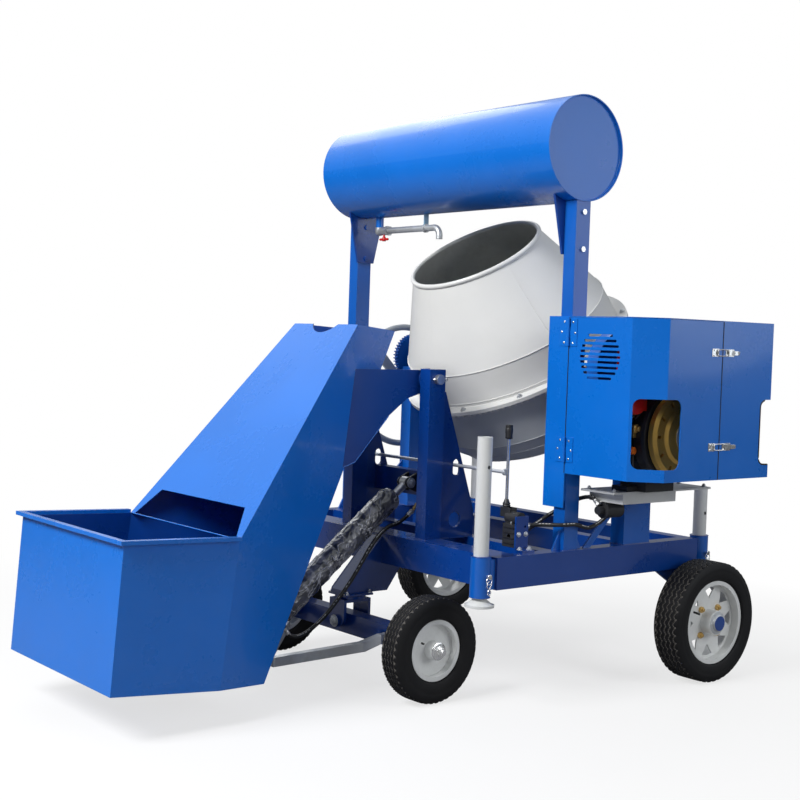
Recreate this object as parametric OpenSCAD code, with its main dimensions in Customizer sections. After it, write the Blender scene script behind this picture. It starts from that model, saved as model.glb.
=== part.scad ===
// Towable concrete mixer with a hydraulic loading hopper, a tilting drum and a water tank.
// X runs forward to the hopper, Y to the engine side, Z up; the ground is Z = 0.

/* [Chassis] */
// Half of the width over the two long beams
beam_half = 730; // [720:1:760]
// Width of each long beam
beam_w = 60; // [50:1:80]
// Height of the beams
beam_h = 120; // [80:1:160]
// Height of the underside of the beams
beam_z = 447; // [430:1:480]
// Front face of the frame ahead of the rear axle
frame_front = 1075; // [1070:1:1085]
// Rear end of the frame behind the rear axle
frame_rear = 65; // [60:1:110]

/* [Wheels] */
// Radius of the rear tyres
rear_r = 246; // [200:1:300]
// Width of the rear tyres
rear_w = 135; // [100:1:150]
// Inner face of the rear tyres
rear_in = 765; // [760:1:800]
// Radius of the front tyres
front_r = 200; // [160:1:205]
// Width of the front tyres
front_w = 100; // [80:1:120]
// Inner face of the front tyres
front_in = 455; // [440:1:500]
// Kingpin ahead of the rear axle
front_x = 1196; // [1190:1:1210]

/* [Legs] */
// Outer radius of the support legs
leg_r = 28; // [22:1:34]
// Distance of the legs from the centre plane
leg_y = 705; // [700:1:720]
// Wall of the sleeves that hold the legs
sleeve_wall = 9.5; // [6:0.5:12]

/* [Drum] */
// Greatest radius of the drum
drum_r = 468; // [440:1:475]
// Radius of the drum mouth
mouth_r = 288; // [240:1:320]
// Forward lean of the drum axis
drum_lean = 32; // [20:1:40]
// Tilt axis ahead of the rear axle
tilt_x = 300; // [290:1:320]
// Height of the tilt axis
tilt_z = 1272; // [1240:1:1300]
// Radius of the trunnions
trunnion_r = 30; // [24:1:36]
// Pinion teeth
pinion_teeth = 10; // [8:1:14]
// Ring gear teeth
ring_teeth = 120; // [96:1:168]

/* [Handwheel] */
// Radius of the handwheel tube circle
hand_r = 282; // [220:1:340]
// Radius of the handwheel tube
hand_tube = 15; // [10:1:20]

/* [Hopper] */
// Half of the inner-to-inner width of the bucket
bucket_half = 400; // [320:1:480]
// Sheet thickness of the hopper
sheet = 5; // [3:0.5:8]
// Radius of the hopper pivot pins
pivot_r = 20; // [14:1:24]

/* [Water tank] */
// Radius of the water tank
tank_r = 202; // [160:1:245]
// Half of the tank length
tank_half = 722; // [720:1:880]
// Height of the tank axis
tank_z = 2107; // [2080:1:2200]

/* [Engine cover] */
// Outer face of the cover on the engine side
cover_side = 1125; // [1120:1:1200]
// Top of the cover
cover_top = 1466; // [1450:1:1560]
// Underside of the cover
cover_low = 866; // [840:1:900]

/* [Hidden] */
$fn = 96;
run = 0.05;
gap = 0.6;
beam_in = beam_half - beam_w;
beam_top = beam_z + beam_h;
wall = 5;
cross_x = [[-frame_rear, -5], [270, 330], [745, 805], [frame_front - 120, frame_front]];
tank_x = 683;
post_x = [646, 721];
post_y = [beam_half - 72, beam_half - 12];
cover_x = 733;
cover_y = beam_half - 12;
toe = [2454, 165];
rear_out = rear_in + rear_w;
mid_x = (toe[0] - rear_r) / 2;
mid_y = (cover_side + 9 - rear_out - 15) / 2;
neck_z = front_r + 132;
axle_z = front_r;
ram_a = [925, 766];
ram_e = [1640, 185];
ram_v = ram_e - ram_a;
ram_len = norm(ram_v);
ram_ang = atan2(ram_v[1], ram_v[0]);
pivot = [1003, 1203];
ring_pitch = drum_r + 12;
pin_r = ring_pitch * pinion_teeth / ring_teeth;
col_y = [beam_half - 80, beam_half - 10];
col_x = [230, 385];
col_top = tilt_z - 42;
arm_y = [drum_r + 77, beam_half - 127];
gear_m = 5;
tilt_teeth = 44;
hand_teeth = 11;
hand_c = gear_m * (tilt_teeth + hand_teeth) / 2;
hand_x = tilt_x + 15;
hand_z = tilt_z - sqrt(hand_c * hand_c - 15 * 15);
hand_y = -(beam_half + 70);
gear_y = [-(beam_half + 30), -(beam_half + 7)];
eng = [420, 1025];
belt_y = [745, 785];
drive_r = 160;
crank_r = 45;
hinge = [cover_x + 6.5, cover_y];
hinge_spans = [[910, 1005], [1352, cover_top - 9]];
valve_x = 880;
rod_h = 859;
lever_z = 715;
seam_x = 330;
hop_top = [2418, 661];
hop_low = [2041, 132];
hop_fold = [1978, 646.5];
hop_heel = [1806, 106];
hop_back = [1107, 1389];
hop_lip = [1361, 1407];
hose_out = [[845, 610, 650], [800, 640, 662], [740, 722, 668], [680, 738, 668], [610, 738, 652],
    [548, 736, 668], [520, 744, 692], [518, 760, 716]];
hose_back = [[845, 596, 610], [790, 596, 640], [720, 622, 690], [645, 632, 722], [610, 680, 758],
    [604, 745, 771], [606, 788, 744]];
hose_ram = [[937, 62, 656], [1000, 60, 612], [1064, 58, 592], [1130, 56, 536], [1232, 54, 394],
    [1335, 50, 278], [1405, 38, 214], [1455, 20, 184], [1490, 6, 190], [1512.5, 0, 220.5]];

// Places the whole mixer over the middle of its own footprint.
module placed() {
    translate([-mid_x, -mid_y, 0]) children();
}

module box(a, b) {
    translate(a) cube(b - a);
}

module both() {
    children();
    mirror([0, 1, 0]) children();
}

module plate_xz(pts, y0, y1) {
    translate([0, y1, 0]) rotate([90, 0, 0]) linear_extrude(y1 - y0) polygon(pts);
}

module bar_x(x0, x1, y, z, r) {
    translate([x0, y, z]) rotate([0, 90, 0]) cylinder(h = x1 - x0, r = r);
}

module bar_y(x, y0, y1, z, r) {
    translate([x, y0, z]) rotate([-90, 0, 0]) cylinder(h = y1 - y0, r = r);
}

module bar_z(x, y, z0, z1, r) {
    translate([x, y, z0]) cylinder(h = z1 - z0, r = r);
}

module chassis_frame() {
    color("royalblue") placed() difference() {
        union() {
            both() box([-frame_rear, beam_in, beam_z], [frame_front, beam_half, beam_top]);
            for (x = cross_x) box([x[0], -beam_in, beam_z], [x[1], beam_in, beam_top]);
        }
        both() box([wall - frame_rear, beam_in + wall, beam_z + wall],
            [frame_front - wall, beam_half - wall, beam_top - wall]);
        for (x = cross_x) {
            box([x[0] + wall, 2 - beam_in, beam_z + wall], [x[1] - wall, beam_in - 2, beam_top - wall]);
            bar_z((x[0] + x[1]) / 2, 120, beam_z - 1, beam_z + wall + 1, 6);
        }
        both() bar_z(180, beam_half - beam_w / 2, beam_z - 1, beam_z + wall + 1, 6);
    }
}

// Gooseneck that carries the turntable under the front of the frame.
module neck() {
    f = frame_front;
    e = front_x + 66;
    color("royalblue") placed() difference() {
        union() {
            plate_xz([[f - 117, beam_z], [f - 100, beam_z - 25], [f - 35, neck_z], [e, neck_z],
                [e, neck_z + 16], [f, beam_z + 108], [f, beam_z]], -40, 40);
            box([front_x - 70, -60, neck_z - 8], [e, 60, neck_z]);
        }
        plate_xz([[f - 150, neck_z + 8], [e - 8, neck_z + 8], [e - 8, neck_z + 14],
            [f + 8, beam_z + 88], [f + 8, beam_z - 8], [f - 150, beam_z - 8]], -32, 32);
        bar_z(front_x, 0, neck_z - 9, neck_z + 9, 16 + run);
    }
}

module leg_sleeves() {
    r = leg_r + gap + sleeve_wall;
    xs = [[frame_front + 60, frame_front, 1], [-frame_rear - 40, -frame_rear, -1]];
    color("royalblue") placed() both() for (s = xs) difference() {
        union() {
            bar_z(s[0], leg_y, beam_z - 24, beam_top + 8, r);
            box([min(s[0], s[1]), leg_y - 15, beam_z + 3], [max(s[0], s[1]), leg_y + 15, beam_top - 7]);
        }
        bar_z(s[0], leg_y, beam_z - 25, beam_top + 9, leg_r + gap);
    }
}

// Stub axles that hang from the beams, one each side.
module rear_axle() {
    color("midnightblue") placed() {
        both() difference() {
            union() {
                box([-30, beam_in - 20, rear_r - 30], [30, beam_half + 15, rear_r + 30]);
                box([-45, beam_half - 40, rear_r + 30], [55, beam_half - 20, beam_z]);
                plate_xz([[55, beam_z], [170, beam_z], [55, beam_z - 70]],
                    beam_half - 36, beam_half - 24);
                bar_y(0, beam_half + 15, rear_out + 5, rear_r, 22);
                bar_y(0, rear_out + 3, rear_out + 15, rear_r, 30);
            }
            box([-25, beam_in - 21, rear_r - 25], [25, beam_half + 10, rear_r + 25]);
        }
    }
}

module pivot_posts() {
    color("royalblue") placed() {
        difference() {
            union() {
                both() box([965, 214, beam_top], [1045, 274, 1243]);
                both() plate_xz([[965, beam_top], [965, 1154], [948, 1154], [780, 673],
                    [780, beam_top]], 250, 260);
                box([840, -250, 715], [895, 250, 815]);
            }
            both() box([970, 219, beam_top - 1], [1040, 269, 1160]);
            box([845, -246, 720], [890, 246, 810]);
            bar_z(868, 150, 714, 721, 6);
            bar_y(pivot[0], -280, 280, pivot[1], pivot_r + run);
            box([862, -270, 834], [898, 270, 866]);
            bar_y(880, -270, 270, 834, 18);
            bar_y(880, -270, 270, 866, 18);
            bar_y(880, -270, 270, 640, 31);
        }
    }
}

module pivot_pins() {
    color("silver") placed() both() difference() {
        union() {
            bar_y(pivot[0], 186, 292, pivot[1], pivot_r);
            bar_y(pivot[0], 182, 190, pivot[1], pivot_r + 8);
        }
        bar_x(pivot[0] - 30, pivot[0] + 30, 283, pivot[1], 3);
    }
}

// Lug on the cross tube that holds the eye of the ram rod.
module ram_lug() {
    p = [[895, 728], [895, 806], [930, 790], [951, 766], [930, 740]];
    color("dimgray") placed() {
        difference() {
            both() plate_xz(p, 20, 32);
            bar_y(ram_a[0], -40, 40, ram_a[1], 12 + run);
        }
        bar_y(ram_a[0], -40, 40, ram_a[1], 12);
    }
}

module tank_posts() {
    color("royalblue") placed() both() difference() {
        union() {
            box([post_x[0], post_y[0], beam_top], [post_x[1], post_y[1], tank_z - tank_r + 30]);
            plate_xz([[post_x[1], beam_top], [post_x[1] + 40, beam_top], [post_x[1], beam_top + 75]],
                beam_half - 40, beam_half - 32);
            plate_xz([[post_x[0], beam_top], [post_x[0], beam_top + 75], [post_x[0] - 40, beam_top]],
                beam_half - 40, beam_half - 32);
        }
        box([post_x[0] + 5, post_y[0] + 5, beam_top - 1],
            [post_x[1] - 5, post_y[1] - 5, tank_z - tank_r + 31]);
        bar_y(tank_x, 600, 800, tank_z, tank_r);
        for (d = [40, 182]) bar_y(tank_x, 600, 800, tank_z - tank_r - d, 6 + run);
    }
}

module tank_saddles() {
    w = post_y[0];
    z = tank_z - tank_r;
    color("royalblue") placed() both() {
        difference() {
            plate_xz([[tank_x - 45, z - 202], [tank_x + 45, z - 202], [tank_x + 98, z + 32],
                [tank_x - 98, z + 32]], w - 10, w);
            bar_y(tank_x, w - 20, w + 10, tank_z, tank_r);
            for (d = [40, 182]) bar_y(tank_x, w - 20, w + 10, z - d, 6 + run);
        }
        for (d = [40, 182]) {
            bar_y(tank_x, w - 18, post_y[1] + 8, z - d, 6);
            translate([tank_x, w - 10, z - d]) rotate([90, 0, 0]) cylinder(h = 8, r = 12, $fn = 6);
            translate([tank_x, post_y[1] + 8, z - d]) rotate([90, 0, 0]) cylinder(h = 8, r = 12, $fn = 6);
        }
    }
}

module water_tank() {
    low = tank_z - tank_r;
    color("royalblue") placed() difference() {
        union() {
            bar_y(tank_x, -tank_half, tank_half, tank_z, tank_r);
            bar_z(tank_x, -550, low - 45, low + 20, 17);
        }
        bar_y(tank_x, 15 - tank_half, tank_half - 15, tank_z, tank_r - 3);
        both() bar_y(tank_x, tank_half - 11, tank_half + 1, tank_z, tank_r - 4);
        bar_z(tank_x, -550, low - 46, low + 30, 12);
    }
}

// Outlet elbow, valve body, delivery pipe with its down-turned end, and the strap under the tank.
module water_outlet() {
    z = tank_z - tank_r - 61;
    color("silver") placed() {
        difference() {
            union() {
                bar_z(tank_x, -550, z, z + 16, 21);
                translate([tank_x, -550, z]) sphere(r = 21);
                bar_y(tank_x, -550, -486, z, 19);
                translate([tank_x, -496, z]) rotate([-90, 0, 0]) cylinder(h = 16, r = 23, $fn = 6);
                bar_y(tank_x, -490, -165, z, 14);
                translate([tank_x, -165, z - 35]) rotate([90, 0, 90]) rotate_extrude(angle = 90)
                    translate([35, 0]) circle(r = 14);
                bar_z(tank_x, -130, z - 50, z - 35, 14);
            }
            bar_y(tank_x, -478, -165, z, 11);
            translate([tank_x, -165, z - 35]) rotate([90, 0, 90]) rotate_extrude(angle = 90)
                translate([35, 0]) circle(r = 11);
            bar_z(tank_x, -130, z - 51, z - 35, 11);
            bar_z(tank_x, -550, z + 16, z + 30, 30);
            bar_z(tank_x, -516, z - 25, z - 8, 5 + run);
        }
        difference() {
            union() {
                bar_y(tank_x, -228, -216, z, 19);
                box([tank_x - 12, -224, z + 14], [tank_x + 12, -219, tank_z - tank_r + 4]);
            }
            bar_y(tank_x, -230, -214, z, 14 + run);
            bar_y(tank_x, -230, -214, tank_z, tank_r);
        }
    }
}

module drum_columns() {
    color("royalblue") placed() {
        both() difference() {
            box([col_x[0], col_y[0], beam_top], [col_x[1], col_y[1], col_top]);
            box([col_x[0] + 6, col_y[0] + 6, beam_top - 1], [col_x[1] - 6, col_y[1] - 6, col_top - 10]);
        }
        both() plate_xz([[col_x[1], beam_top + 215], [col_x[1], beam_top + 175],
            [col_x[1] + 175, beam_top], [col_x[1] + 215, beam_top]], beam_half - 33, beam_half - 25);
    }
}

module column_bearings() {
    color("dimgray") placed() {
        both() difference() {
            union() {
                box([tilt_x - 58, col_y[0] + 5, col_top], [tilt_x + 58, col_y[1] - 5, tilt_z]);
                bar_y(tilt_x, col_y[0] + 5, col_y[1] - 5, tilt_z, 58);
            }
            box([col_x[0], col_y[0], col_top - 30], [col_x[1], col_y[1], col_top]);
            bar_y(tilt_x, col_y[0], col_y[1], tilt_z, trunnion_r + run);
        }
        difference() {
            union() {
                bar_y(hand_x, gear_y[1] + 3, -col_y[1], hand_z, 30);
                box([hand_x - 40, -col_y[1] - 6, hand_z - 30], [hand_x + 40, -col_y[1], hand_z + 30]);
            }
            bar_y(hand_x, gear_y[1] - 1, 1 - col_y[1], hand_z, 12 + run);
        }
    }
}

module engine_plate() {
    y = col_y[1];
    color("gainsboro") placed() {
        box([70, y, 797], [640, 893, 805]);
        difference() {
            box([285, y, 758], [590, 893, 797]);
            box([289, y + 4, 757], [586, 889, 793]);
        }
    }
}

// Single-cylinder engine: crankcase, finned cylinder and fan housing.
module engine_block() {
    color("dimgray") placed() difference() {
        union() {
            box([345, 800, 805], [505, 930, 1105]);
            box([330, 806, 805], [560, 886, 825]);
            box([505, 812, 930], [655, 918, 1085]);
            bar_y(eng[0], 930, 985, eng[1], 172);
        }
        for (x = [520:16:600]) {
            box([x, 805, 920], [x + 8, 826, 1100]);
            box([x, 904, 920], [x + 8, 925, 1100]);
        }
        bar_y(eng[0], 790, 990, eng[1], 15 + run);
    }
    color("darkgray") placed() {
        box([545, 830, 1085], [570, 860, 1100]);
        box([535, 825, 1100], [665, 915, 1185]);
        bar_z(640, 870, 1185, 1215, 14);
    }
}

module fuel_tank() {
    color("firebrick") placed() {
        box([350, 815, 1215], [570, 1000, 1345]);
        for (x = [362, 470]) box([x, 822, 1105], [x + 20, 920, 1215]);
        bar_z(440, 905, 1345, 1365, 26);
    }
}

module drive_belt() {
    a = [tilt_x, tilt_z];
    y = (belt_y[0] + belt_y[1]) / 2;
    color("black") placed() translate([0, y + 9, 0]) rotate([90, 0, 0]) linear_extrude(18) difference() {
        hull() {
            translate(a) circle(r = drive_r - 2, $fn = 60);
            translate(eng) circle(r = crank_r - 2, $fn = 40);
        }
        hull() {
            translate(a) circle(r = drive_r - 9, $fn = 60);
            translate(eng) circle(r = crank_r - 9, $fn = 40);
        }
    }
}

module cover_fixed() {
    s = cover_side;
    color("royalblue") placed() difference() {
        union() {
            box([730, beam_half - 122, 732], [733, cover_y, cover_top]);
            box([post_x[1], post_y[0] + 4, 760], [730, post_y[1] - 4, 1440]);
            translate([0, 0, cover_top - 3]) linear_extrude(3) polygon([[733, beam_half - 122],
                [733, s - 93], [634, s], [20, s], [20, beam_half - 122]]);
            box([20, col_y[1], cover_low], [23, s, cover_top]);
            box([20, s - 3, cover_low], [seam_x, s, cover_top]);
            box([240, col_y[1], 1180], [375, col_y[1] + 6, cover_top]);
        }
        box([19, s - 85, 915], [52, s + 1, 1169]);
        box([50, s - 85, 945], [82, s + 1, 1139]);
        for (z = [945, 1139]) bar_y(52, s - 85, s + 1, z, 30);
        box([post_x[0] - 1, post_y[0] - 1, cover_top - 4], [post_x[1] + 1, post_y[1] + 1, cover_top + 1]);
        bar_y(tilt_x, col_y[1] - 1, col_y[1] + 7, tilt_z, trunnion_r + 6);
    }
}

module cover_hinges() {
    color("silver") placed() for (s = hinge_spans) {
        box([cover_x, cover_y - 50, s[0]], [cover_x + 2.5, cover_y - 7.5, s[1]]);
        for (z = [s[0], s[1] - 30]) {
            box([cover_x, cover_y - 7.6, z], [cover_x + 2.5, cover_y - 1.5, z + 30]);
            bar_z(hinge[0], hinge[1], z, z + 30, 5.5);
        }
        bar_z(hinge[0], hinge[1], s[0], s[1], 2.4);
    }
}

// Spool valve on its bracket at the side of the frame.
module valve_block() {
    color("lightgray") placed() {
        difference() {
            union() {
                box([848, 644, beam_top], [912, 690, beam_top + 8]);
                box([848, 644, beam_top + 8], [912, 652, 700]);
            }
            bar_y(865, 640, 660, 660, 5);
        }
        difference() {
            union() {
                box([850, 575, 580], [910, 644, 668]);
                bar_y(880, 575, 644, 690, 24);
                box([862, 575, 668], [898, 600, 690]);
            }
            bar_x(849, 911, 610, 620, 9);
        }
        for (x = [862, 892]) box([x, 546, 690], [x + 6, 600, 727]);
        bar_x(868, 892, 560, lever_z, 4);
    }
}

module hydraulic_pump() {
    color("slategray") placed() {
        bar_x(500, 590, 790, 726, 32);
        bar_x(590, 618, 790, 726, 16);
        box([520, 772, 700], [570, 808, 715]);
    }
}

// Flat oil tank bolted inside the beam under the pump.
module oil_tank() {
    y = beam_in - 8;
    z = beam_z + 81;
    color("midnightblue") placed() {
        difference() {
            box([20, y - 190, beam_z + 3], [250, y, z]);
            box([24, y - 186, beam_z + 7], [246, y - 4, z - 4]);
            bar_z(60, y - 90, z - 11, z + 1, 20);
        }
        bar_z(60, y - 90, z, z + 16, 28);
        box([50, y, beam_z + 20], [220, beam_in, beam_z + 50]);
    }
}

module tilt_frame() {
    translate([tilt_x, 0, tilt_z]) rotate([0, drum_lean, 0]) children();
}

module arm_shape(r, half, low) {
    union() {
        circle(r = r);
        polygon([[-r, 0], [r, 0], [half, low], [-half, low]]);
    }
}

module yoke() {
    w = arm_y[1] - arm_y[0];
    color("royalblue") placed() tilt_frame() difference() {
        union() {
            both() difference() {
                translate([0, arm_y[1], 0]) rotate([90, 0, 0]) linear_extrude(w) arm_shape(150, 60, -430);
                translate([0, arm_y[1] - 8, 0]) rotate([90, 0, 0]) linear_extrude(w) arm_shape(142, 52, -342);
            }
            both() bar_y(0, arm_y[0], arm_y[1], 0, 46);
            difference() {
                box([-60, -arm_y[0], -430], [60, arm_y[0], -350]);
                both() box([-52, 75, -431], [52, arm_y[0] - 8, -358]);
            }
            bar_y(0, arm_y[1], col_y[1] + 5, 0, trunnion_r);
            bar_y(0, gear_y[0] - 5, -arm_y[1], 0, trunnion_r);
        }
        bar_y(0, arm_y[0] - 1, col_y[1] + 6, 0, 17 + run);
        bar_z(0, 0, -431, -349, 35 + run);
    }
}

module gear_shape(n, tip, root) {
    p = 360 / n;
    polygon([for (i = [0:n - 1]) for (k = [[-0.28, root], [-0.13, tip], [0.13, tip], [0.28, root]])
        k[1] * [cos((i + k[0]) * p), sin((i + k[0]) * p)]]);
}

module tilt_gear() {
    r = gear_m * tilt_teeth / 2;
    a = atan2(hand_z - tilt_z, hand_x - tilt_x);
    color("dimgray") placed() translate([tilt_x, gear_y[1], tilt_z]) rotate([90, 0, 0]) difference() {
        rotate([0, 0, a]) linear_extrude(gear_y[1] - gear_y[0]) gear_shape(tilt_teeth, r + 3.5, r - 5.5);
        translate([0, 0, -1]) cylinder(h = 40, r = trunnion_r + run);
    }
}

module drum_upper() {
    z1 = 541.6;
    color("whitesmoke") placed() tilt_frame() rotate_extrude() {
        polygon([[drum_r, 50], [drum_r, 75.6], [drum_r - 16, 202.6], [mouth_r, z1], [mouth_r - 6, z1],
            [drum_r - 22, 201], [drum_r - 5.5, 75], [drum_r - 5.5, 50]]);
        translate([mouth_r, z1]) circle(r = 10);
    }
}

module drum_lower() {
    color("lightgray") placed() tilt_frame() {
        rotate_extrude() polygon([[drum_r, 50], [drum_r, 36], [drum_r - 18, -158.4],
            [drum_r - 40, -212], [drum_r - 84, -266], [drum_r - 150, -306], [250, -328.4],
            [60, -328.4], [60, -345], [35, -345], [35, -438], [0, -438], [0, -322.4], [249, -322.4],
            [drum_r - 152, -300.5], [drum_r - 88, -261.5], [drum_r - 45, -209], [drum_r - 24, -157],
            [drum_r - 6, 36], [drum_r - 6, 50]]);
    }
}

module ring_gear() {
    t = pin_r + 6.5;
    color("gainsboro") placed() tilt_frame() difference() {
        union() {
            difference() {
                bar_z(0, 0, t, t + 16, drum_r + 46);
                bar_z(0, 0, t - 1, t + 17, drum_r + run);
            }
            for (i = [0:ring_teeth - 1]) rotate([0, 0, 90 + i * 360 / ring_teeth])
                translate([drum_r + 6, 0, t]) rotate([90, 0, 90]) linear_extrude(34)
                    polygon([[-6.3, 1], [-6.3, 0], [-3.4, -10.5], [3.4, -10.5], [6.3, 0], [6.3, 1]]);
        }
    }
}

module mixing_blades() {
    color("darkgray") placed() tilt_frame() intersection() {
        for (i = [0:2]) rotate([0, 0, 30 + i * 120]) translate([0, 4, 0]) rotate([90, 0, 0])
            linear_extrude(8) polygon([[250, -300], [drum_r, -300], [drum_r, 180], [drum_r - 90, 180],
                [drum_r - 170, -60], [230, -200]]);
        rotate_extrude() polygon([[0, -322.4], [249, -322.4], [drum_r - 152, -300.5],
            [drum_r - 88, -261.5], [drum_r - 45, -209], [drum_r - 24, -157], [drum_r - 6, 36],
            [drum_r - 6, 75], [drum_r - 22, 201], [0, 201]]);
    }
}

module pinion_shaft() {
    c = (belt_y[0] + belt_y[1]) / 2;
    color("silver") placed() tilt_frame() {
        bar_y(0, drum_r + 8, belt_y[1] + 5, 0, 17);
        translate([0, drum_r + 42, 0]) rotate([90, 0, 0]) rotate([0, 0, 90 + 180 / pinion_teeth])
            linear_extrude(34) gear_shape(pinion_teeth, pin_r + 4, pin_r - 6);
        translate([0, belt_y[0], 0]) rotate([-90, 0, 0]) rotate_extrude() polygon([[15, 0], [40, 0],
            [40, 12], [drive_r - 24, 12], [drive_r - 24, 2], [drive_r, 2], [drive_r - 10, 10],
            [drive_r - 10, 30], [drive_r, 38], [drive_r - 24, 38], [drive_r - 24, 28], [40, 28],
            [40, 40], [15, 40]]);
    }
}

module flywheel() {
    color("goldenrod") placed() translate([eng[0], 990, eng[1]]) rotate([-90, 0, 0]) difference() {
        rotate_extrude() polygon([[15 + run, 0], [150, 0], [164, 8], [164, 30], [150, 40], [110, 40],
            [100, 52], [40, 56], [15 + run, 56]]);
        for (i = [0:11]) rotate([0, 0, i * 30]) translate([125, -6, -1]) cube([22, 12, 60]);
    }
}

module crank_pulley() {
    color("silver") placed() {
        bar_y(eng[0], belt_y[0], 1046, eng[1], 15);
        translate([eng[0], belt_y[0], eng[1]]) rotate([-90, 0, 0]) rotate_extrude() polygon([[14, 2],
            [crank_r, 2], [crank_r - 10, 10], [crank_r - 10, 30], [crank_r, 38], [14, 38]]);
    }
}

module handwheel() {
    color("lightgray") placed() translate([hand_x, hand_y, hand_z]) rotate([90, 0, 0]) difference() {
        union() {
            rotate_extrude() translate([hand_r, 0]) circle(r = hand_tube);
            for (i = [0:3]) rotate([0, 0, 45 + i * 90]) translate([20, -24, -4]) cube([hand_r - 30, 48, 8]);
            translate([0, 0, -25]) cylinder(h = 42, r = 30);
            translate([0, 0, -77]) cylinder(h = 90, r = 12);
            translate([0, 0, -62.5]) rotate([0, 0, atan2(tilt_z - hand_z, tilt_x - hand_x) + 180 / 11])
                linear_extrude(22) gear_shape(hand_teeth, 31, 22);
        }
    }
}

function half_at(p) = bucket_half + 0.35886 * (p[0] - hop_low[0]) + 0.04394 * (p[1] - hop_low[1]);
function unit(v) = v / norm(v);
function left(v) = [-v[1], v[0]];
function meet(p, u, q, v) = p + u * ((left(v) * (q - p)) / (left(v) * u));
function inner(a, b, c, t) = let (u = unit(b - a), v = unit(c - b))
    meet(b - left(u) * t, u, b - left(v) * t, v);

// A body between two mirrored sides; the outline is listed clockwise as seen from the far side.
module slab(xz, y, chute, bucket) {
    n = len(xz);
    rev = function(v) [for (i = [len(v) - 1:-1:0]) v[i]];
    polyhedron([for (k = [1, -1]) for (i = [0:n - 1]) [xz[i][0], k * y[i], xz[i][1]]],
        concat([rev(chute), rev(bucket), [for (i = chute) i + n], [for (i = bucket) i + n]],
        [for (i = [0:n - 1]) [i, (i + 1) % n, n + (i + 1) % n, n + i]]));
}

module hopper_outer() {
    pts = [hop_top, toe, hop_low, hop_heel, hop_back, hop_lip, hop_fold];
    h = bucket_half;
    slab(pts, [h, h, h, half_at(hop_heel), half_at(hop_back), half_at(hop_lip), h],
        [2, 3, 4, 5, 6], [0, 1, 2, 6]);
}

module hopper_inner() {
    t = sheet;
    u = unit(hop_lip - hop_fold);
    v = unit(hop_back - hop_heel);
    f = inner(hop_top, toe, hop_low, t);
    k = inner(toe, hop_low, hop_heel, t);
    e = inner(hop_low, hop_heel, hop_back, t);
    b = hop_back - left(v) * t + v * 60;
    l = hop_lip + left(u) * t + u * 60;
    d1 = hop_fold + left(u) * t;
    d2 = hop_fold - left(u) * 60;
    g = hop_top + unit(hop_top - toe) * 60 + [-t, 0];
    h = bucket_half - t;
    slab([g, f, k, e, b, l, d1, hop_fold, d2],
        [h, h, h, half_at(e) - t, half_at(b) - t, half_at(l) - t, half_at(d1) - t, h, h],
        [2, 3, 4, 5, 6, 7], [0, 1, 2, 7, 8]);
}

module hopper_shell() {
    u = unit(hop_lip - hop_fold);
    color("royalblue") placed() difference() {
        hopper_outer();
        hopper_inner();
        translate([hop_fold[0], 0, hop_fold[1]]) multmatrix([[0, u[0], u[1], 0], [1, 0, 0, 0],
            [0, u[1], -u[0], 0], [0, 0, 0, 1]]) {
            translate([0, 0, -20]) linear_extrude(40) polygon([[12 - bucket_half, -30],
                [bucket_half - 12, -30], [bucket_half - 100, 126], [100 - bucket_half, 126]]);
            translate([-68, norm(hop_lip - hop_fold) - 18, -20]) cube([136, 60, 40]);
            translate([0, norm(hop_lip - hop_fold) + 62, -20]) cylinder(h = 40, r = 105);
        }
    }
}

module hopper_rim() {
    w = hop_top - hop_fold;
    color("royalblue") placed() translate([hop_fold[0], 0, hop_fold[1]])
        rotate([0, -atan2(w[1], w[0]), 0]) difference() {
            box([2, -bucket_half - 20, 0], [norm(w) + 20, bucket_half + 20, 14]);
            box([1, 5 - bucket_half, -1], [norm(w) - 5, bucket_half - 5, 15]);
        }
}

module hopper_arms() {
    color("royalblue") placed() {
        both() difference() {
            union() {
                plate_xz([[985, 1238], [1440, 1238], [1440, 850], [1349, 880], [1190, 1057],
                    [1102, 1124], [985, 1160]], 194, 204);
                bar_y(pivot[0], 191, 211, pivot[1], 42);
            }
            hopper_outer();
            bar_y(pivot[0], 180, 220, pivot[1], pivot_r + run);
        }
        both() difference() {
            union() {
                plate_xz([[1640, 157], [1830, 96], [1752, 330], [1617, 204]], 38, 48);
                bar_y(ram_e[0], 38, 48, ram_e[1], 28);
                bar_y(ram_e[0], 24, 54, ram_e[1], 12);
            }
            hopper_outer();
        }
    }
}

// Frame whose X runs from the ram lug to the pin under the hopper.
module ram_frame() {
    translate([ram_a[0], 0, ram_a[1]]) rotate([0, -ram_ang, 0]) children();
}

module ram_rod() {
    color("silver") placed() ram_frame() difference() {
        union() {
            bar_y(0, -18, 18, 0, 24);
            bar_x(15, 836, 0, 0, 16);
            bar_x(835, 860, 0, 0, 25 - run);
        }
        bar_y(0, -20, 20, 0, 12 + run);
    }
}

module ram_barrel() {
    color("dimgray") placed() ram_frame() difference() {
        union() {
            bar_x(300, 884, 0, 0, 32);
            bar_x(296, 326, 0, 0, 36);
            box([876, -18, -20], [ram_len, 18, 20]);
            bar_y(ram_len, -21, 21, 0, 28);
            bar_z(800, 0, -52, -20, 11);
            bar_z(345, 0, 20, 50, 9);
        }
        bar_x(340, 866, 0, 0, 25);
        bar_x(290, 350, 0, 0, 16 + run);
    }
}

// Packing film that covers the barrel and, as a loose sleeve, the rod.
module ram_wrap() {
    color("gainsboro") placed() ram_frame() difference() {
        bar_x(80, 780, 0, 8, 52);
        bar_x(79, 327, 0, 0, 37);
        bar_x(326, 781, 0, 0, 32);
        bar_z(345, 0, 20, 62, 10);
    }
}

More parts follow.
